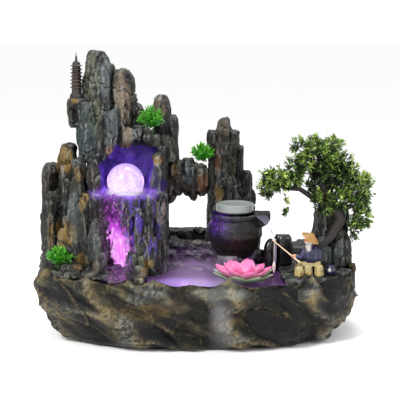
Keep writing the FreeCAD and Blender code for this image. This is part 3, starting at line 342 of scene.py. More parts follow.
rocks = {
    "basin": "hull", "lower_cliff": "column", "left_buttress": "column", "upper_cliff": "column",
    "left_ledge": "column", "rear_steps": "ledge", "rock_arch": "column", "right_pillar": "column",
    "fisher_ledge": "ledge", "tree_rock": "column", "splash_rock_left": "wet", "splash_rock_right": "wet",
    "stone_jar": "clay", "pagoda_tower": "carved", "pagoda_spire": "carved", "rear_cover": "column",
}
patches = [  # x, z, half width, half height, tone, strength
    (-117, 279, 8, 28, "moss", 0.85), (-114, 240, 8, 20, "moss", 0.7), (-102, 282, 6, 20, "slate", 0.85),
    (-83, 262, 9, 26, "sand", 0.85), (-81, 222, 8, 18, "sand", 0.8), (-93, 226, 9, 24, "slate", 0.9),
    (-97, 200, 5, 7, "rust", 0.8), (-88, 203, 4, 7, "rust", 0.9), (-77, 204, 4, 6, "rust", 0.8),
    (-141, 250, 5, 12, "umber", 0.7), (-136, 257, 4, 3, "ochre", 0.7), (-124, 225, 12, 30, "teal", 0.5),
    (-149, 192, 10, 14, "ochre", 0.9), (-129, 180, 5, 8, "ochre", 0.6), (-112, 175, 7, 13, "umber", 0.9),
    (-144, 116, 12, 13, "ochre", 0.9), (-161, 118, 4, 18, "ochre", 0.6), (-123, 151, 4, 8, "ochre", 0.75),
    (-134, 147, 7, 12, "slate", 0.8), (-132, 122, 5, 14, "slate", 0.5), (-112, 112, 8, 18, "slate", 0.5),
    (-124, 90, 6, 6, "ochre", 0.7), (-107, 86, 5, 6, "sand", 0.6), (-63, 92, 6, 9, "moss", 0.9),
    (-77, 92, 4, 8, "moss", 0.7), (-54, 82, 5, 5, "ochre", 0.7), (-88, 80, 4, 4, "sand", 0.6),
    (-44, 192, 6, 5, "ochre", 0.7), (-60, 236, 10, 16, "stone", 0.5), (-44, 247, 9, 12, "sand", 0.5),
    (-40, 140, 5, 14, "sand", 0.5), (-27, 170, 7, 12, "umber", 0.7), (-26, 176, 4, 8, "ochre", 0.4),
    (6, 162, 6, 12, "rust", 0.55), (-10, 172, 6, 14, "teal", 0.8), (24, 188, 4, 14, "rust", 0.6),
    (38, 184, 9, 14, "olive", 0.6), (31, 226, 9, 9, "sand", 0.5), (24, 150, 5, 11, "ochre", 0.6),
    (46, 98, 20, 12, "brick", 0.9), (58, 108, 10, 9, "brick", 0.8), (140, 90, 9, 12, "slate", 0.7),
    (152, 96, 8, 16, "slate", 0.6), (-146, 78, 16, 5, "umber", 0.6),
    (120, 62, 44, 6, "pale", 0.35), (30, 66, 40, 6, "pale", 0.4), (-16, 56, 16, 9, "sand", 0.6),
    (140, 58, 26, 7, "ochre", 0.5), (62, 36, 34, 8, "ochre", 0.55), (-52, 46, 24, 8, "ochre", 0.45),
    (100, 18, 20, 8, "ochre", 0.6), (-110, 34, 26, 10, "slate", 0.4), (20, 16, 40, 8, "charcoal", 0.7),
]
# painted light: the ball's violet light on the cave walls and a lit ring on the shelf, without shadows
caveLampLight = {"place": (-79.0, 0.0, 172.0), "colour": srgb(118, 66, 255), "power": 0.85, "reach": 21.0,
            "shelf": 157, "ringCentre": (-79, 3), "ringReach": 44, "ringPower": 0.8,
            "ring": srgb(168, 116, 255)}
# painted light: lit spray and glints painted as emission on the rock under the cascade
litSpray = {"upper": srgb(164, 44, 196), "spark": srgb(232, 120, 255), "power": 0.72}


def crackLine(p, n):  # the long crack that runs across both peaks
    run = np.clip((p[:, 0] + 127) / 56, 0, 1)
    height = 281 - 17 * run + 1.6 * np.sin(p[:, 0] * 0.45) + 0.8 * np.sin(p[:, 0] * 1.3)
    near = np.exp(-((p[:, 2] - height) / 0.9) ** 2)
    run = np.clip((p[:, 0] + 118) / 30, 0, 1)
    height = 236 + 22 * run + 2 * np.sin(p[:, 0] * 0.7)
    near += np.exp(-((p[:, 2] - height) / 1.0) ** 2) * (p[:, 0] > -118) * (p[:, 0] < -88)
    return np.clip(near, 0, 1) * (p[:, 2] > 226) * (p[:, 0] < -64) * (n[:, 1] < 0.5)


def inCave(p):
    away = np.sqrt(((p - [-78, 12, 176]) ** 2).sum(1))
    top = 206 - 15 * np.abs((p[:, 0] + 80) / 28) ** 2 + 6 * noise(p * [1, 0, 0], 6, 77)
    deep = ramp(p[:, 1], 22, 30)
    return (ramp(52 - away, 0, 9) * ramp(p[:, 1], -7, 2) * (p[:, 2] > 156)
            * ramp(np.maximum(top, 215 * deep) - p[:, 2], 0, 3))


def sculptRock(node, style, body, material, keep=None):
    mesh = remeshedNode(node, style["voxel"])
    p = readPoints(mesh) / mm
    edges = edgePairs(mesh)
    p = smoothed(p, edges, style["round"])
    writePoints(mesh, p * mm)
    n = smoothed(readNormals(mesh), edges, 2)
    n /= np.linalg.norm(n, axis=1)[:, None].clip(1e-6)
    free = np.ones(len(p)) if keep is None else keep(p)
    warp = np.stack([fractal(p, 20, 40 + k, 2) for k in range(3)], 1)
    q = p + 6 * warp
    q[:, 2] += style["slant"] * q[:, 0]
    first, second, name, offset = cells(q, style["cell"], 11)
    cellKey = (name * 9999).astype(np.int64)[:, None] * np.array([[1, 3, 7]])
    tiltBy = (offset * (np.stack([hashed(cellKey, 60 + k) for k in range(3)], 1) - 0.5)).sum(1)
    crack = np.exp(-((second - first) / 0.06) ** 2) * ramp(fractal(p, 24, 27, 2), -0.25, 0.2)
    across = crackLine(p, n) if node == "upper_cliff" else np.zeros(len(p))
    height = style["step"] * (name - 0.5) * 2 + style["tilt"] * tiltBy * 1.4 - style["groove"] * crack
    fold = fractal(q, style["fold"], 23, 2)
    if style["slant"] > 0.4:  # sharp-backed folds that overhang the hollow below them
        fold = 1.3 * (0.5 - np.abs(fractal(q, style["fold"], 29, 2)) ** 0.8 * 1.7)
    height += style["foldStep"] * fold + style["fluteStep"] * fractal(q, style["flute"], 31, 2)
    if style["voxel"] < 1.5 and style["step"] > 1:  # small chisel marks
        tag, away = cells(q, (6, 6, 13), 83)[2:]
        height += 0.9 * (tag - 0.5) + 0.9 * (away * (tag[:, None] * [3, 5, 4] % 1 - 0.5)).sum(1)
    height += style["grain"] * fractal(p, 3.2, 71, 3) - 1.3 * across
    p = p + (n * height[:, None] + style["warp"] * warp * [1, 1, 0.4]) * free[:, None]
    writePoints(mesh, p * mm)
    n = readNormals(mesh)
    fine = ((p - smoothed(p, edges, 3)) * n).sum(1)
    broad = ((p - smoothed(p, edges, 26)) * n).sum(1)
    setColour(mesh, paintRock(p, n, fine, broad, crack * min(1, style["groove"]) + across, fold, style, node))
    # painted light from the lamps, emitted by the rock material
    setColour(mesh, paintLampLight(p, n, node), "glow")
    return showPiece(node + "_rock", mesh, material, body, [node])


def paintRock(p, n, fine, broad, crack, fold, style, node):
    (a, b, size1), (c, d, size2) = style["mixes"]
    colour = mix(tones[a], tones[b], ramp(fractal(p, size1, 91, 3), -0.35, 0.35))
    other = mix(tones[c], tones[d], ramp(fractal(p, size2, 97, 2), -0.3, 0.3))
    colour = mix(colour, other, ramp(fractal(p, size2, 103, 2), -0.25, 0.35))
    if style["voxel"] > 1.15 or node == "stone_jar":
        for x, z, halfWidth, halfHeight, tone, strength in patches:
            d2 = (((p[:, 0] - x) / halfWidth) ** 2 + ((p[:, 2] - z) / halfHeight) ** 2
                  + 0.5 * noise(p, (5, 5, 9), 5))
            weight = ramp(1.5 - d2, 0, 0.8) * strength * ramp(-n[:, 1], -0.2, 0.3)
            colour = mix(colour, tones[tone], weight)
    scale = style["voxel"] / 1.35
    colour = colour * (0.9 + 0.55 * fractal(
        p, (2.4, 2.4, 16) if style["slant"] < 0.2 else (14, 14, 3), 131, 3))[:, None]
    # painted light from above: upward-facing surfaces lighter by the style's top share
    colour = colour * (1 + style["top"] * np.clip(n[:, 2], -0.6, 1))[:, None]
    # painted shade: hollows darkened toward the near-black crack tone, standing in for ambient occlusion
    hollow = ramp(-broad / scale, 0.0, 1.5)
    if node == "basin":  # painted shadow below each fold, painted highlight along its back; darker towards the bottom
        colour = colour * ((0.3 + 0.95 * ramp(fold, -0.2, 0.5)) * (0.8 + 0.3 * ramp(p[:, 2], 4, 60)))[:, None]
        ridgeHighlight = ramp(fold, -0.1, 0.6) * ramp(
            fractal(p, 2.4, 173, 3) + 0.7 * fractal(p, 20, 175, 2), -0.15, 0.35)
        colour = mix(colour, mix(tones["bronze"], tones["pale"], ramp(fractal(p, 26, 179, 2), -0.1, 0.4)),
                     0.55 * ridgeHighlight)
    colour = mix(colour, tones["crack"], 0.88 * hollow)
    colour = mix(colour, tones["crack"], 0.9 * np.clip(crack, 0, 1))
    # pale edge colour on convex edges and ridges: drybrushed paint and painted highlight
    brushAndHighlight = (ramp(fine / scale, 0.04, 0.28)
               + 0.8 * ramp(broad / scale, 0.5, 2.0) * ramp(fractal(p, 2.2, 157, 2), -0.1, 0.4))
    brushAndHighlight = np.clip(brushAndHighlight, 0, 1) * ramp(fractal(p, 7, 151, 3), -0.35, 0.35)
    colour = mix(colour, tones[style["edge"]], style["edgeShare"] * brushAndHighlight)
    colour = colour * nodeShade.get(node, 1.0)
    # painted shade in the cave, tinted deep violet by the lamp's light
    if node in ("upper_cliff", "lower_cliff"):
        colour = mix(colour, tones["caveShade"], 0.9 * inCave(p))
    if node in ("lower_cliff", "left_ledge", "upper_cliff"):
        colour = mix(colour, tones["plum"], 0.75 * fallShare(p))
    # painted purple light from the pond lamp, stronger on the lower steps
    if node == "rear_steps":
        colour = mix(colour, tones["pondLampTint"], 0.5 * ramp(98 - p[:, 2], 0, 24))
    return colour


def fallShare(p):  # where the water runs down from the shelf
    middle = -95 + 0.16 * (157 - p[:, 2])
    across = np.exp(-np.abs((p[:, 0] - middle) / (11 + 3 * noise(p, 7, 7))) ** 3)
    return across * ramp(p[:, 2], 70, 84) * ramp(172 - p[:, 2], 0, 14) * ramp(-p[:, 1], 2, 12)


def paintLampLight(p, n, node):
    # painted light: lamp light falling on the rock, written as emission in the glow attribute
    glow = np.zeros((len(p), 3))
    if node in ("upper_cliff", "lower_cliff"):
        # painted light from the ball on the cave walls, falling off with distance and facing
        toLamp = caveLampLight["place"] - p
        away = np.linalg.norm(toLamp, axis=1)
        facing = np.clip((toLamp * n).sum(1) / away.clip(1e-6), 0, 1) ** 0.7
        strength = caveLampLight["power"] * facing / (1 + (away / caveLampLight["reach"]) ** 2.4)
        vein = 0.45 + 0.9 * ramp(fractal(p, (5, 5, 12), 251, 3), -0.3, 0.5)
        glow += (strength * vein * np.maximum(inCave(p), 0.0))[:, None] * caveLampLight["colour"]
        ringX, ringY = caveLampLight["ringCentre"]
        apart = np.hypot(p[:, 0] - ringX, p[:, 1] - ringY)
        ring = np.exp(-((p[:, 2] - caveLampLight["shelf"]) / 4) ** 2) * ramp(caveLampLight["ringReach"] - apart, 0, 16)
        glow += (caveLampLight["ringPower"] * ring * vein)[:, None] * caveLampLight["ring"]
    if node in ("lower_cliff", "left_ledge", "upper_cliff"):
        # painted glints and lit spray on the rock where the water falls
        spark = ramp(noise(p, 1.5, 261), 0.22, 0.62) * ramp(noise(p, 5, 263), -0.5, 0.3)
        fall = fallShare(p) * ramp(-n[:, 1], -0.2, 0.4) * (p[:, 1] < 0)
        glow += fall[:, None] * (0.16 * litSpray["upper"] + litSpray["power"] * spark[:, None] * litSpray["spark"])
        # painted light: violet streaks of lit water on the rock
        side = np.exp(-((p[:, 0] + 64) / 22) ** 4) * ramp(158 - p[:, 2], 0, 6) * ramp(p[:, 2], 84, 104)
        litThreads = ramp(fractal(p, (2.4, 2.4, 18), 271, 2), 0.02, 0.4) * side * (p[:, 1] < 0)
        glow += (0.34 * litThreads * ramp(-n[:, 1], 0, 0.5))[:, None] * srgb(130, 84, 255)
    if node == "rear_steps":
        lit = ramp(94 - p[:, 2], 0, 20) * ramp(n[:, 2] * 0.6 - n[:, 1] * 0.4, 0.1, 0.8)
        glow += (0.16 * lit * ramp(fractal(p, 12, 281, 2), -0.2, 0.4))[:, None] * srgb(190, 120, 220)
    if node == "stone_jar":
        lit = np.exp(-(((p[:, 0] - 24) / 12) ** 2 + ((p[:, 2] - 121) / 9) ** 2)) * (n[:, 1] < 0.2)
        spark = ramp(noise(p, 1.7, 291), 0.1, 0.6)
        glow += (lit * (0.08 + 0.4 * spark))[:, None] * srgb(150, 60, 255)
    return glow


rockMaterial = paintedMaterial("rock paint", 0.5, 0.5, 0.9, 0.0009, 0.16, scale=650.0, glow=True)
wetMaterial = paintedMaterial("wet rock", 0.28, 0.2, 0.3, 0.0004, 0.6)
clayMaterial = paintedMaterial("jar clay", 0.4, 0.4, 0.8, 0.0006, 0.22, 1200.0, glow=True)
carvedMaterial = paintedMaterial("carved resin", 0.5, 0.2, 0.2, 0.0002, 0.4, 1600.0)
styleMaterials = {"wet": wetMaterial, "clay": clayMaterial, "carved": carvedMaterial}


def basinFree(p):  # the underside stays true
    return ramp(p[:, 2], 1.0, 10.0)


def lowerFree(p):  # the cup's seat and the pump bay stay true
    cup = np.hypot(p[:, 0] + 79.2, p[:, 1] - 3.0)
    bay = (p[:, 1] > -8) & (p[:, 0] > -120) & (p[:, 0] < -38) & (p[:, 2] < 153)
    seat = ramp(cup, 22.5, 25.5) + ramp(136.0 - p[:, 2], 0, 2)
    return np.clip(seat, 0, 1) * np.where(bay, 0.15, 1.0) * ramp(p[:, 2], 9, 14)


grommetSpot = {"x": -101, "z": 90, "flat": 13}


def hatchFree(p):  # flat where the grommet sits, shallow relief elsewhere
    apart = np.hypot(p[:, 0] - grommetSpot["x"], p[:, 2] - grommetSpot["z"])
    return np.where(apart < grommetSpot["flat"], 0.0, 0.25)


freeOf = {"basin": basinFree, "lower_cliff": lowerFree, "rear_cover": hatchFree}
pieces = {}
for node, styleName in rocks.items():
    body = "hatch" if node == "rear_cover" else "fountain"
    material = styleMaterials.get(styleName, rockMaterial)
    pieces[node] = sculptRock(node, rockStyles[styleName], body, material, freeOf.get(node))
    report(node + " " + str(len(pieces[node].data.polygons)))


# ---------- plants

def leafTemplate():  # closed thin leaf along +X, 1 long
    points = [(0, 0, 0), (0.45, 0.3, 0.06), (0.5, 0, 0.1), (0.45, -0.3, 0.06), (1, 0, 0.02), (0.5, 0, -0.02)]
    faces = [(0, 2, 1), (0, 3, 2), (1, 2, 4), (2, 3, 4), (0, 1, 5), (0, 5, 3), (1, 4, 5), (5, 4, 3)]
    return np.array(points), faces


def needleTemplate():  # three-sided spike along +X
    points = [(0, 0.06, 0), (0, -0.03, 0.05), (0, -0.03, -0.05), (0.55, 0.075, 0.0), (0.55, -0.04, 0.06),
              (0.55, -0.04, -0.06), (1, 0, 0)]
    faces = [(0, 2, 1), (0, 1, 4, 3), (1, 2, 5, 4), (2, 0, 3, 5), (3, 4, 6), (4, 5, 6), (5, 3, 6)]
    return np.array(points), faces


def scatter(template, places, directions, rolls, lengths, widths):  # many copies in one mesh, mm
    points, faces = template
    x = directions / np.linalg.norm(directions, axis=1)[:, None].clip(1e-9)
    up = np.where(np.abs(x[:, 2:3]) > 0.9, [[1.0, 0, 0]], [[0, 0, 1.0]])
    y = np.cross(up, x)
    y /= np.linalg.norm(y, axis=1)[:, None]
    z = np.cross(x, y)
    c, s = np.cos(rolls)[:, None], np.sin(rolls)[:, None]
    y, z = y * c + z * s, z * c - y * s
    made = (places[:, None] + x[:, None] * points[None, :, 0:1] * lengths[:, None, None]
            + y[:, None] * points[None, :, 1:2] * widths[:, None, None]
            + z[:, None] * points[None, :, 2:3] * widths[:, None, None])
    count = len(points)
    allFaces = [tuple(i + k * count for i in face) for k in range(len(places)) for face in faces]
    return made.reshape(-1, 3), allFaces


foliage = {
    "leafLength": 5.4, "leafWidth": 3.0, "twigLeaves": 15, "seed": 5, "share": 0.8,
    "crownShare": 0.62, "heartShade": 0.22,
    "passedLight": 0.1,
    # darkest and deep: the painted shade inside the crown; fresh and tip: the painted light on its outside
    "darkest": srgb(14, 26, 14), "deep": srgb(42, 64, 28), "fresh": srgb(110, 138, 56),
    "tip": srgb(184, 202, 104),
}
leafBlobs = {  # x, y, z, radii x, y, z, twigs
    "foliage_crown": [(137, 3, 198, 22, 22, 17, 190), (114, 3, 205, 11, 12, 13, 60),
                      (149, 5, 207, 15, 14, 12, 90),
                      (118, 0, 190, 10, 14, 11, 60), (128, 4, 212, 8, 9, 9, 26)],
    "foliage_heart": [(146, 10, 176, 21, 22, 16, 190), (159, 8, 188, 14, 16, 13, 90),
                      (134, 4, 181, 9, 14, 11, 40),
                      (128, 2, 164, 7, 10, 9, 34)],
    "foliage_left": [(86, -2, 172, 17, 16, 13, 120), (108, 1, 183, 12, 14, 14, 90),
                     (76, -3, 161, 10, 12, 10, 50),
                     (103, 0, 170, 13, 13, 8, 60), (97, -2, 144, 2.5, 3, 15, 14)],
    "foliage_right": [(178, 3, 160, 18, 19, 20, 190), (167, 2, 180, 12, 14, 12, 80),
                      (138, -2, 148, 12, 12, 16, 80),
                      (158, 0, 150, 14, 14, 13, 90)],
    "foliage_low": [(183, 4, 131, 11, 12, 15, 90), (174, 3, 117, 8, 11, 12, 44)],
}


def growLeaves(node, blobs):
    rng = np.random.default_rng(foliage["seed"] + len(node) + len(blobs) * 7)
    places, directions, lengths, shadeAndTint = [], [], [], []
    stems, stemDirs, stemLengths = [], [], []
    for x, y, z, rx, ry, rz, twigs in blobs:
        centre, radii = np.array([x, y, z]), np.array([rx, ry, rz])
        for _ in range(int(twigs * foliage["crownShare" if node == "foliage_crown" else "share"])):
            out = rng.normal(size=3)
            out /= np.linalg.norm(out)
            reach = rng.uniform(0.66, 1.12) + 0.2 * rng.uniform(0, 1) ** 4
            end = centre + out * radii * reach
            start = centre + out * radii * rng.uniform(0.25, 0.55) + rng.normal(size=3) * 1.5
            run = end - start
            size = np.linalg.norm(run)
            stems.append(start)
            stemDirs.append(run)
            stemLengths.append(size)
            for k in range(foliage["twigLeaves"]):
                t = rng.uniform(0.2, 1.0)
                where = start + run * t + rng.normal(size=3) * 0.7
                way = run / size * 1.0 + rng.normal(size=3) * 0.6
                places.append(where)
                directions.append(way)
                lengths.append(foliage["leafLength"] * rng.uniform(0.65, 1.15))
                # painted light and shade: leaves lighter outwards, upwards and to the right, with a random
                # tint
                outward = np.linalg.norm((where - centre) / radii)
                shadeAndTint.append(outward * 0.62 + rng.normal() * 0.13
                             + 0.2 * out[2] + 0.12 * out[0] - 0.1 * out[1])
    places, directions, lengths = np.array(places), np.array(directions), np.array(lengths)
    rolls = rng.uniform(-0.9, 0.9, len(places))
    points, faces = scatter(leafTemplate(), places, directions, rolls, lengths,
                            lengths * foliage["leafWidth"] / foliage["leafLength"])
    shadeAndTint = np.repeat(np.array(shadeAndTint) - (foliage["heartShade"] if node == "foliage_heart" else 0.0), 6)
    colour = mix(foliage["darkest"], foliage["deep"], ramp(shadeAndTint, 0.2, 0.5))
    colour = mix(colour, foliage["fresh"], ramp(shadeAndTint, 0.46, 0.76))
    colour = mix(colour, foliage["tip"], ramp(shadeAndTint, 0.76, 1.05))
    mesh = meshFrom(node + "_leaves", points, faces)
    setColour(mesh, colour)
    leaves = showPiece(node + "_leaves", mesh, leafMaterial, replaces=[node], smooth=False)
    stems, stemDirs, stemLengths = np.array(stems), np.array(stemDirs), np.array(stemLengths)
    points, faces = scatter(needleTemplate(), stems, stemDirs, np.zeros(len(stems)), stemLengths,
                            np.full(len(stems), 7.0))
    showPiece(node + "_twigs", meshFrom(node + "_twigs", points, faces), twigMaterial)
    return leaves


leafMaterial = paintedMaterial("leaf plastic", 0.45, 0.15, 0.1, 0.0002, 0.4)
shader = leafMaterial.node_tree.nodes["Principled BSDF"]
leafMaterial.node_tree.links.new(shader.inputs["Base Color"].links[0].from_socket,
                                 shader.inputs["Emission Color"])
shader.inputs["Emission Strength"].default_value = foliage["passedLight"]  # through thin leaves
twigMaterial = plainMaterial("twig", srgb(58, 46, 32), 0.6)
for node, blobs in leafBlobs.items():
    growLeaves(node, blobs)
report("leaves")

grass = {"stems": 46, "needles": 13, "needleLength": 6.6, "seed": 9,
         "base": srgb(6, 28, 4), "blade": srgb(30, 104, 6), "tip": srgb(104, 188, 24)}
tufts = {"grass_left": (-147.5, -47, 82, 15.5, 24), "grass_peak": (-51, 20, 222, 15.5, 31),
         "grass_arch": (5, 44, 184, 16, 24)}


def growTuft(node, spot):
    rng = np.random.default_rng(grass["seed"] + int(abs(spot[0])))
    x, y, z, radius, height = spot
    places, directions, lengths, tips = [], [], [], []
    for _ in range(grass["stems"]):
        turn, lean = rng.uniform(0, math.tau), rng.uniform(0, 1) ** 0.6
        top = np.array([math.cos(turn) * lean * radius, math.sin(turn) * lean * radius * 0.9,
                        height * (1.0 - 0.5 * lean ** 2) * rng.uniform(0.85, 1.05)])
        for k in range(grass["needles"]):
            t = 0.25 + 0.75 * (k + 1) / grass["needles"]
            bend = np.array([top[0] * t ** 1.6, top[1] * t ** 1.6, top[2] * t ** 0.8])
            places.append(np.array([x, y, z]) + bend * 0.86)
            way = top / np.linalg.norm(top) * 0.8 + rng.normal(size=3) * 0.62
            directions.append(way)
            lengths.append(grass["needleLength"] * rng.uniform(0.7, 1.1))
            tips.append(t + rng.normal() * 0.1)
    places, directions, lengths = np.array(places), np.array(directions), np.array(lengths)
    points, faces = scatter(needleTemplate(), places, directions, rng.uniform(0, 6, len(places)), lengths,
                            np.full(len(places), 9.0))
    share = np.tile(np.array([0, 0, 0, 0.5, 0.5, 0.5, 1.0]), len(places))
    t = np.repeat(np.array(tips), 7)
    colour = mix(grass["base"], grass["blade"], ramp(t + 0.3 * share, 0.3, 0.8))
    colour = mix(colour, grass["tip"], ramp(t * 0.5 + share * 0.5, 0.7, 1.0))
    mesh = meshFrom(node + "_blades", points, faces)
    setColour(mesh, colour)
    return showPiece(node + "_blades", mesh, leafMaterial, replaces=[node], smooth=False)


for node, spot in tufts.items():
    growTuft(node, spot)
report("grass")

# ---------- lotus

lotus = {"x": 49.5, "y": -52.0, "z": 69.0, "pink": srgb(228, 158, 190), "blush": srgb(216, 104, 160),
         "green": srgb(104, 142, 100), "greenEdge": srgb(150, 166, 134)}


def petalMesh(length, width, rise, cup, thickness=0.9, rows=9, columns=7):  # along +X, curving up, closed
    top, bottom = [], []
    for i in range(rows):
        t = i / (rows - 1)
        half = width / 2 * (math.sin(math.pi * min(1, t * 0.86 + 0.12)) ** 0.75) * (1 - 0.15 * t)
        if i == rows - 1:
            half = 0.35
        for j in range(columns):
            s = 2 * j / (columns - 1) - 1
            y = half * s
            z = rise * t ** 1.7 + cup * s * s * math.sin(math.pi * t * 0.9 + 0.2)
            x = length * t - 0.18 * rise * t * t
            thick = thickness * (1 - 0.6 * abs(s))
            top.append((x, y, z + thick / 2))
            bottom.append((x, y, z - thick / 2))
    count = rows * columns
    faces = []
    for i in range(rows - 1):
        for j in range(columns - 1):
            a = i * columns + j
            faces.append((a, a + columns, a + columns + 1, a + 1))
            faces.append((a + count, a + 1 + count, a + columns + 1 + count, a + columns + count))
    for i in range(rows - 1):
        a, b = i * columns, (i + 1) * columns
        faces.append((a, a + count, b + count, b))
        a, b = a + columns - 1, b + columns - 1
        faces.append((a, b, b + count, a + count))
    for j in range(columns - 1):
        faces.append((j, j + 1, j + 1 + count, j + count))
        a = (rows - 1) * columns + j
        faces.append((a, a + count, a + 1 + count, a + 1))
    share = np.array([i / (rows - 1) for i in range(rows) for _ in range(columns)] * 2)
    return np.array(top + bottom), faces, share


def ringOfPetals(rings, inner, outer, seed):
    rng = random.Random(seed)
    points, faces, colours = [], [], []
    for count, start, length, width, rise, cup, lift, turn in rings:
        for k in range(count):
            shape, shapeFaces, share = petalMesh(length * rng.uniform(0.94, 1.04),
                                                 width * rng.uniform(0.92, 1.08),
                                                 rise * rng.uniform(0.85, 1.12), cup)
            shape = shape + [start, 0, lift]
            angle = (k + turn + rng.uniform(-0.12, 0.12)) * math.tau / count
            c, s = math.cos(angle), math.sin(angle)
            placed = np.stack([shape[:, 0] * c - shape[:, 1] * s, shape[:, 0] * s + shape[:, 1] * c,
                               shape[:, 2]], 1)
            first = len(points) and sum(len(q) for q in points)
            faces += [tuple(i + first for i in face) for face in shapeFaces]
            points.append(placed + [lotus["x"], lotus["y"], lotus["z"]])
            colours.append(mix(inner, outer, share ** 1.5))
    return np.concatenate(points), faces, np.concatenate(colours)


petalMaterial = paintedMaterial("lotus foam", 0.6, 0.06, 0.1, 0.0002, 0.3)
shader = petalMaterial.node_tree.nodes["Principled BSDF"]
shader.inputs["Subsurface Weight"].default_value = 0.25
shader.inputs["Subsurface Radius"].default_value = (0.004, 0.002, 0.002)
points, faces, colours = ringOfPetals([  # count, start, length, width, rise, cup, lift, turn
    (9, 4, 30, 19, 15, 4.5, 1.5, 0.0), (8, 3, 22, 16, 16, 4.0, 2.5, 0.5), (6, 2, 13, 10, 14, 3.0, 3.5, 0.2)],
    lotus["pink"], lotus["blush"], 3)
mesh = meshFrom("lotus_petals", points, faces)
setColour(mesh, colours)
showPiece("lotus_petals_foam", mesh, petalMaterial, "lotus", ["lotus_petals"])
points, faces, colours = ringOfPetals([(8, 4, 32.5, 22, 13, 3.5, -1.5, 0.5)],
                                      lotus["green"], lotus["greenEdge"], 4)
mesh = meshFrom("lotus_leaves", points, faces)
setColour(mesh, colours)
showPiece("lotus_leaves_foam", mesh, petalMaterial, "lotus", ["lotus_leaves"])
report("lotus")

# ---------- ball, dish and small parts

ball = {"glow": srgb(190, 150, 250), "core": srgb(255, 232, 255), "rim": srgb(150, 120, 240), "power": 0.78}


def ballMaterial():
    material, tree, shader = newMaterial("crackle glass", 0.12, 0.5)
    where = addNode(tree, "ShaderNodeTexCoord")
    crackle = addNode(tree, "ShaderNodeTexVoronoi", feature="DISTANCE_TO_EDGE", Scale=170.0)
    tree.links.new(where.outputs["Object"], crackle.inputs["Vector"])
    lines = addNode(tree, "ShaderNodeMapRange")
    for key, value in (("From Min", 0.0), ("From Max", 0.16), ("To Min", 1.0), ("To Max", 0.0)):
        lines.inputs[key].default_value = value
    tree.links.new(crackle.outputs["Distance"], lines.inputs["Value"])
    split = addNode(tree, "ShaderNodeSeparateXYZ")
    tree.links.new(where.outputs["Object"], split.inputs["Vector"])
    height = addNode(tree, "ShaderNodeMapRange")
    for key, value in (("From Min", 0.158), ("From Max", 0.188), ("To Min", 0.0), ("To Max", 1.0)):
        height.inputs[key].default_value = value
    tree.links.new(split.outputs["Z"], height.inputs["Value"])
    fade = addNode(tree, "ShaderNodeMix", data_type="RGBA")
    fade.inputs[6].default_value = (*ball["core"], 1)
    fade.inputs[7].default_value = (*ball["glow"], 1)
    tree.links.new(height.outputs["Result"], fade.inputs[0])
    cracked = addNode(tree, "ShaderNodeMix", data_type="RGBA")
    cracked.inputs[7].default_value = (*ball["rim"], 1)
    tree.links.new(fade.outputs[2], cracked.inputs[6])
    soften = addNode(tree, "ShaderNodeMath", operation="MULTIPLY")
    soften.inputs[1].default_value = 0.45
    tree.links.new(lines.outputs["Result"], soften.inputs[0])
    tree.links.new(soften.outputs[0], cracked.inputs[0])
    shader.inputs["Base Color"].default_value = (0.2, 0.16, 0.26, 1)
    facets = addNode(tree, "ShaderNodeTexVoronoi", Scale=120.0)
    stretch = addNode(tree, "ShaderNodeMapping")
    stretch.inputs["Scale"].default_value = (1.6, 1.6, 0.8)
    tree.links.new(where.outputs["Object"], stretch.inputs["Vector"])
    tree.links.new(stretch.outputs["Vector"], facets.inputs["Vector"])
    shade = addNode(tree, "ShaderNodeSeparateColor")
    tree.links.new(facets.outputs["Color"], shade.inputs["Color"])
    level = addNode(tree, "ShaderNodeMapRange")
    for key, value in (("From Min", 0.0), ("From Max", 1.0), ("To Min", 0.78), ("To Max", 1.25)):
        level.inputs[key].default_value = value
    tree.links.new(shade.outputs["Red"], level.inputs["Value"])
    varied = addNode(tree, "ShaderNodeVectorMath", operation="SCALE")
    tree.links.new(cracked.outputs[2], varied.inputs[0])
    tree.links.new(level.outputs["Result"], varied.inputs["Scale"])
    tree.links.new(varied.outputs["Vector"], shader.inputs["Emission Color"])
    shader.inputs["Emission Strength"].default_value = ball["power"]
    bumpFrom(tree, shader, objectNoise(tree, 260.0), 0.3, 0.0005)
    return material


plain = {
    "pad_rubber": plainMaterial("rubber", srgb(28, 28, 28), 0.8),
    "black_plastic": plainMaterial("black plastic", srgb(30, 30, 32), 0.45),
    "hose_vinyl": plainMaterial("clear hose", srgb(200, 205, 200), 0.2, alpha=0.6),
    "magnet": plainMaterial("magnet", srgb(60, 60, 62), 0.4, 0.6),
    "shaft_ceramic": plainMaterial("ceramic shaft", srgb(225, 222, 212), 0.2),
    "steel": plainMaterial("steel", srgb(170, 170, 172), 0.3, 1.0),
    "clear_plastic": plainMaterial("clear plastic", srgb(205, 200, 215), 0.15, alpha=0.5),
    "circuit_board": plainMaterial("board", srgb(20, 90, 40), 0.4),
    "led": plainMaterial("lit led", srgb(235, 220, 255), 0.3, emission=srgb(190, 120, 255), strength=3.0),
    "dish_glaze": plainMaterial("dish glaze", srgb(122, 128, 124), 0.32, variation=0.06),
    "bark": plainMaterial("bark", srgb(24, 17, 15), 0.75, variation=0.5),
    "crackle_glass": ballMaterial(),
    "navy_coat": plainMaterial("coat", srgb(30, 30, 70), 0.4),
    "tan_trousers": plainMaterial("trousers", srgb(206, 190, 140), 0.45),
    "straw": plainMaterial("straw", srgb(196, 158, 92), 0.5, variation=0.25),
    "blue_creel": plainMaterial("creel", srgb(24, 24, 60), 0.3),
    "rod": plainMaterial("rod", srgb(214, 188, 150), 0.4),
    "line": plainMaterial("line", srgb(210, 205, 200), 0.5),
    "fish": plainMaterial("fish", srgb(232, 208, 208), 0.35),
}
slotOf = {s["node"]: s["material_slot"] for s in frame["record"]["subparts"]}
for node, thing in nodes.items():
    if not thing.hide_render and slotOf[node] in plain:
        thing.data.materials.clear()
        thing.data.materials.append(plain[slotOf[node]])
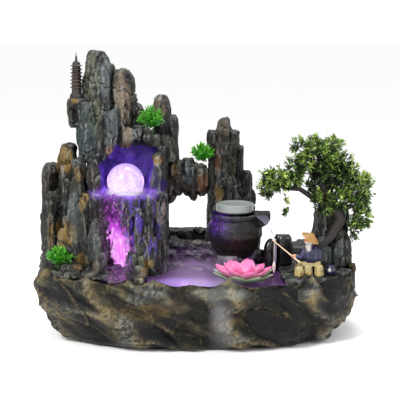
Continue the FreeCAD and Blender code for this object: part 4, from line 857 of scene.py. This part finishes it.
report("small parts")


# ---------- fisherman

figure = {"skin": srgb(176, 122, 92), "beard": srgb(196, 190, 182), "coat": srgb(22, 20, 52),
          "shine": srgb(56, 54, 110),
          "cloth": srgb(168, 152, 104), "boot": srgb(186, 166, 106), "sole": srgb(96, 66, 34),
          "straw": srgb(170, 128, 66), "strawDark": srgb(96, 66, 32), "creel": srgb(22, 20, 56)}


def figurePiece(node, voxel, relief, material, painter):
    mesh = remeshedNode(node, voxel)
    p = readPoints(mesh) / mm
    edges = edgePairs(mesh)
    p = smoothed(p, edges, 3)
    writePoints(mesh, p * mm)
    n = readNormals(mesh)
    p = p + n * (relief * fractal(p, (3.2, 3.2, 7), 401, 3))[:, None]
    writePoints(mesh, p * mm)
    fine = ((p - smoothed(p, edges, 6)) * n).sum(1)
    # painted light and shade: convex places lighter, hollows darker
    colour = painter(p, n) * (0.85 + 1.4 * np.clip(fine, -0.35, 0.35))[:, None]
    setColour(mesh, colour)
    return showPiece(node + "_figure", mesh, material, "fountain", [node])


def paintBody(p, n):
    colour = np.tile(figure["coat"], (len(p), 1))
    colour = mix(colour, figure["shine"], 0.5 * ramp(fractal(p, (2.4, 2.4, 6), 411, 2), 0.05, 0.5))
    head = ramp(p[:, 2], 106.2, 106.8) * ramp(7.0 - np.abs(p[:, 0] - 119.5), 0, 1)
    colour = mix(colour, figure["skin"], head)
    beard = head * ramp(110.0 - p[:, 2], 0, 0.6) * ramp(-n[:, 1], -0.1, 0.3)
    beard = np.maximum(beard, np.exp(
        -(((p[:, 0] - 119) / 2.8) ** 2 + ((p[:, 2] - 104.5) / 4) ** 2) ** 2) * (n[:, 1] < 0))
    colour = mix(colour, figure["beard"], beard)
    hand = ramp(4.6 - np.linalg.norm(p - [102, -44, 95], axis=1), 0, 0.8)
    return mix(colour, figure["skin"], hand)


def paintLegs(p, n):
    colour = mix(figure["cloth"], figure["boot"], ramp(80 - p[:, 2], 0, 2))
    return mix(colour, figure["sole"],
               0.8 * ramp(fractal(p, (4, 4, 5), 421, 2), 0.05, 0.5) * ramp(n[:, 2], -1, 0.2))


def paintHat(p, n):
    turn = np.arctan2(p[:, 1] + 42, p[:, 0] - 120)
    weave = 0.5 + 0.5 * np.sin(turn * 34) * np.sin(p[:, 2] * 5)
    return mix(np.tile(figure["straw"], (len(p), 1)), figure["strawDark"], 0.55 * weave)


def paintCreel(p, n):
    # painted highlight: a white glint on the creel's front, in the beard's colour
    shine = np.exp(-(((p[:, 0] - 142) / 1.2) ** 2 + ((p[:, 2] - 79) / 1.4) ** 2))
    return mix(np.tile(figure["creel"], (len(p), 1)), figure["beard"],
               np.clip(1.3 * shine, 0, 1) * (n[:, 1] < 0))


figureMaterial = paintedMaterial("glazed figure", 0.32, 0.12, 0.15, 0.0002, 0.55, 1500.0)
figurePiece("fisherman_body", 0.5, 0.55, figureMaterial, paintBody)
figurePiece("fisherman_trousers", 0.5, 0.5, figureMaterial, paintLegs)
figurePiece("fisherman_hat", 0.45, 0.18, figureMaterial, paintHat)
figurePiece("creel", 0.45, 0.12, figureMaterial, paintCreel)
report("fisherman")

# ---------- water

water = {"level": 68.0, "violet": srgb(150, 110, 205), "litStreak": srgb(188, 160, 214),
         "depth": srgb(84, 52, 100)}


def waterMaterial(name, strength, body=0.5, roughness=0.12):
    material, tree, shader = newMaterial(name, roughness, 0.5)
    paint = addNode(tree, "ShaderNodeAttribute", attribute_name="paint")
    base = addNode(tree, "ShaderNodeVectorMath", operation="SCALE")
    base.inputs["Scale"].default_value = body
    tree.links.new(paint.outputs["Color"], base.inputs[0])
    tree.links.new(base.outputs["Vector"], shader.inputs["Base Color"])
    # painted light: the water and mist emit their paint colour, lit by the lamps
    tree.links.new(paint.outputs["Color"], shader.inputs["Emission Color"])
    shader.inputs["Emission Strength"].default_value = strength
    tree.links.new(paint.outputs["Alpha"], shader.inputs["Alpha"])
    bumpFrom(tree, shader, objectNoise(tree, 120.0, 2.0), 0.25, 0.001)
    return material


def pondMesh():
    points, faces = [], []
    columns, rows = 120, 70
    for j in range(rows + 1):
        for i in range(columns + 1):
            x, y = -90 + 190 * i / columns, -92 + 115 * j / rows
            reach = (abs(x) / 169) ** 2.6 + (abs(y) / 89) ** 2.6 if y < 0 else 0
            if reach > 1:
                y = -89 * (1 - min(1, (abs(x) / 169)) ** 2.6) ** (1 / 2.6)
            points.append((x, y, water["level"]))
    for j in range(rows):
        for i in range(columns):
            a = j * (columns + 1) + i
            faces.append((a, a + 1, a + columns + 2, a + columns + 1))
    points = np.array(points, float)
    points[:, 2] += 0.35 * fractal(points, 14, 201, 3)
    return points, faces


points, faces = pondMesh()
# painted light: the pond lamp's violet pool on the water, with a pale lit streak near the front
glow = np.exp(-(((points[:, 0] + 15) / 42) ** 2 + ((points[:, 1] + 62) / 26) ** 2))
colour = mix(water["depth"], water["violet"], ramp(glow + 0.15 * fractal(points, 20, 211, 3), 0.0, 0.7))
colour = mix(colour, water["litStreak"], 0.6 * ramp(glow * np.exp(-((points[:, 0] - 15) / 40) ** 2), 0.3, 0.9))
mesh = meshFrom("pond", points, faces)
setColour(mesh, colour)
showPiece("pond_water", mesh, waterMaterial("pond water", 0.42, 0.35, 0.35))

mesh = pieces["lower_cliff"].data
cliffSurface = BVHTree.FromPolygons([v.co for v in mesh.vertices], [tuple(q.vertices) for q in mesh.polygons])


def frontOfRock(x, z):  # where a ray from the front meets the rock, mm
    hit = cliffSurface.ray_cast(Vector((x * mm, -0.3, z * mm)), Vector((0, 1, 0)))[0]
    return hit.y / mm if hit is not None else None


def drape(outline, stand, columns, step, back=40.0):  # outline: height, left, right
    heights = np.arange(outline[0][0], outline[-1][0], -step)
    tops = [o[0] for o in outline][::-1]
    lefts = np.interp(heights, tops, [o[1] for o in outline][::-1])
    rights = np.interp(heights, tops, [o[2] for o in outline][::-1])
    grid = np.zeros((len(heights), columns + 1, 3))
    for i, z in enumerate(heights):
        for j in range(columns + 1):
            x = lefts[i] + (rights[i] - lefts[i]) * j / columns
            y = frontOfRock(x, z)
            grid[i, j] = (x, min(back, y if y is not None else back) - stand, z)
    for _ in range(3):  # water clings but bridges hollows
        y = grid[:, :, 1]
        y[1:-1] = np.minimum(y[1:-1], (y[:-2] + y[2:]) / 2 + 0.2)
    count = columns + 1
    points = grid.reshape(-1, 3)
    faces = [(i * count + j, (i + 1) * count + j, (i + 1) * count + j + 1, i * count + j + 1)
             for i in range(len(heights) - 1) for j in range(columns)]
    return points, faces


cascade = {"high": srgb(190, 52, 214), "pink": srgb(240, 130, 248), "foam": srgb(255, 190, 255),
           "deep": srgb(120, 40, 150)}
points, faces = drape([(136, -101, -86), (126, -101, -80), (116, -100, -73), (104, -99, -68),
                       (94, -97, -66), (86, -94, -68), (77, -92, -72)], 1.3, 34, 0.8)
# the cascade is painted with the pink lamp's light, brightest in foam streaks lower down
streak = fractal(points, (2.2, 2.2, 9), 221, 3)
fallen = ramp(136 - points[:, 2], 0, 48)
colour = mix(cascade["high"], cascade["pink"], ramp(fallen, 0.1, 0.7))
colour = mix(colour, cascade["foam"],
             ramp(streak + 0.6 * fallen + 0.35 * ramp(-points[:, 0], 82, 98), 0.45, 1.0))
colour = mix(colour, cascade["deep"],
             0.85 * ramp(noise(points, (7, 7, 8), 227), 0.2, 0.5) * (1 - 0.5 * fallen))
share = np.tile(np.linspace(0, 1, 35), len(points) // 35)
rough = 0.35 * fractal(points, (3, 3, 5), 229, 3)
solid = (ramp(share + rough, 0.02, 0.12) * ramp(1 - share + rough, 0.05, 0.45)
         * ramp(136 - points[:, 2] + 14 * rough, 2, 14))
mesh = meshFrom("cascade", points, faces)
setColour(mesh, colour, alpha=np.clip(solid, 0, 1))
showPiece("cascade_water", mesh, waterMaterial("cascade water", 0.9, 0.1))


def threadMesh(paths, width):  # thin falling threads, three-sided
    points, faces = [], []
    for path in paths:
        first = len(points)
        for k, (x, y, z) in enumerate(path):
            w = width * (1 - 0.3 * k / len(path))
            points += [(x - w, y, z), (x + w, y, z), (x, y + w, z)]
        for k in range(len(path) - 1):
            a = first + 3 * k
            faces += [(a, a + 1, a + 4, a + 3), (a + 1, a + 2, a + 5, a + 4), (a + 2, a, a + 3, a + 5)]
        faces += [(first, first + 2, first + 1), (len(points) - 3, len(points) - 2, len(points) - 1)]
    return np.array(points), faces


threads = {"count": 5, "start": 62, "apart": 3.2, "end": 86, "points": 16, "width": 0.38, "clear": 0.48,
           "colour": srgb(206, 196, 232)}
rng = random.Random(8)
paths = []
for k in range(threads["count"]):  # over the jar's spout and down to the dark rocks
    start, side = threads["start"] + threads["apart"] * k, rng.uniform(-3, 3)
    path = []
    for i in range(threads["points"]):
        t = i / (threads["points"] - 1)
        x = start + (threads["end"] - start + rng.uniform(-0.3, 0.3)) * min(1.0, 1.35 * t)
        path.append((x, 3 + side * (1 - t) - 22 * min(1, 1.6 * t), 131.5 - 52 * t ** 1.8 * (0.8 + 0.05 * k)))
    paths.append(path)
points, faces = threadMesh(paths, threads["width"])
mesh = meshFrom("spout_threads", points, faces)
setColour(mesh, np.tile(threads["colour"], (len(points), 1)), alpha=threads["clear"])
showPiece("spout_threads", mesh, waterMaterial("falling water", 0.35, 0.5))
report("water")

# ---------- mist

mist = {"colour": srgb(196, 172, 214), "pale": srgb(190, 188, 190)}


def mistSheet(name, place, size, colour, strength, seed, lean=0.0):  # a soft-edged veil that faces the front
    columns, rows = 60, 50
    points, faces, clear = [], [], []
    for j in range(rows + 1):
        for i in range(columns + 1):
            u, v = 2 * i / columns - 1, 2 * j / rows - 1
            points.append((place[0] + u * size[0], place[1] + lean * v, place[2] + v * size[1]))
            clear.append(max(0.0, 1 - u * u) ** 1.5 * max(0.0, 1 - v * v) ** 1.2)
    for j in range(rows):
        for i in range(columns):
            a = j * (columns + 1) + i
            faces.append((a, a + 1, a + columns + 2, a + columns + 1))
    points = np.array(points, float)
    wisp = 0.6 + 0.5 * fractal(points, (16, 16, 12), seed, 3)
    mesh = meshFrom(name, points, faces)
    setColour(mesh, np.tile(colour, (len(points), 1)), alpha=np.clip(strength * np.array(clear) * wisp, 0, 1))
    showPiece(name, mesh, mistMaterial)


mistMaterial = waterMaterial("mist", 0.55, 0.5, 0.9)
mistSheet("mist_pond", (10, -58, 76), (52, 20), mist["colour"], 0.42, 301, 6)
mistSheet("mist_low", (2, -84, 72), (50, 9), mist["colour"], 0.5, 311, 2)
mistSheet("mist_spill", (25, -99, 44), (15, 43), mist["pale"], 0.26, 321, -2)
report("mist")

# ---------- stage, light and camera

cameraSpec = {"place": (0.003, -1.1, 0.3256), "down": 9.14, "lens": 90.8}
camera = bpy.data.cameras.new("camera")
camera.lens = cameraSpec["lens"]
camera.sensor_width = 36.0
viewer = bpy.data.objects.new("camera", camera)
bpy.context.scene.collection.objects.link(viewer)
viewer.location = cameraSpec["place"]
viewer.rotation_euler = (math.radians(90 - cameraSpec["down"]), 0, 0)
bpy.context.scene.camera = viewer


def areaLight(name, place, aim, size, power, colour=(1, 1, 1)):
    light = bpy.data.lights.new(name, "AREA")
    light.size = size
    light.energy = power
    light.color = colour
    lamp = bpy.data.objects.new(name, light)
    bpy.context.scene.collection.objects.link(lamp)
    lamp.location = place
    lamp.rotation_mode = "QUATERNION"
    lamp.rotation_quaternion = (Vector(aim) - Vector(place)).to_track_quat("-Z", "Y")


def glowLight(name, place, power, colour, radius=6.0):
    light = bpy.data.lights.new(name, "POINT")
    light.energy = power
    light.color = colour
    light.shadow_soft_size = radius * mm
    lamp = bpy.data.objects.new(name, light)
    bpy.context.scene.collection.objects.link(lamp)
    lamp.location = [c * mm for c in place]


areaLight("key", (-0.6, -0.9, 0.9), (0, 0, 0.15), 0.35, 16)
areaLight("fill", (0.8, -0.7, 0.5), (0, 0, 0.15), 0.6, 3)
areaLight("top", (0.1, 0.3, 1.1), (0, 0, 0.1), 0.5, 7)
glowLight("cave left", (-104, 6, 172), 0.006, (0.40, 0.16, 1.0))
glowLight("cave right", (-54, 6, 172), 0.006, (0.40, 0.16, 1.0))
glowLight("falls low", (-84, -42, 92), 0.004, (1.0, 0.3, 0.9))
glowLight("pond glow", (-14, -30, 80), 0.006, (0.75, 0.35, 1.0))
glowLight("jar glow", (8, -20, 124), 0.006, (0.5, 0.15, 1.0))

bpy.ops.mesh.primitive_plane_add(size=120, location=(0, 0, 0))
floor = bpy.context.object
floor.name = "floor"
floor.data.materials.append(plainMaterial("floor", (0.97, 0.97, 0.97), 0.95, variation=0.0))
world = bpy.data.worlds.new("studio")
bpy.context.scene.world = world
world.use_nodes = True
world.node_tree.nodes["Background"].inputs["Color"].default_value = (1, 1, 1, 1)
world.node_tree.nodes["Background"].inputs["Strength"].default_value = 1.0
bpy.context.scene.view_settings.view_transform = "Standard"

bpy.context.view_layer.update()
report("done")
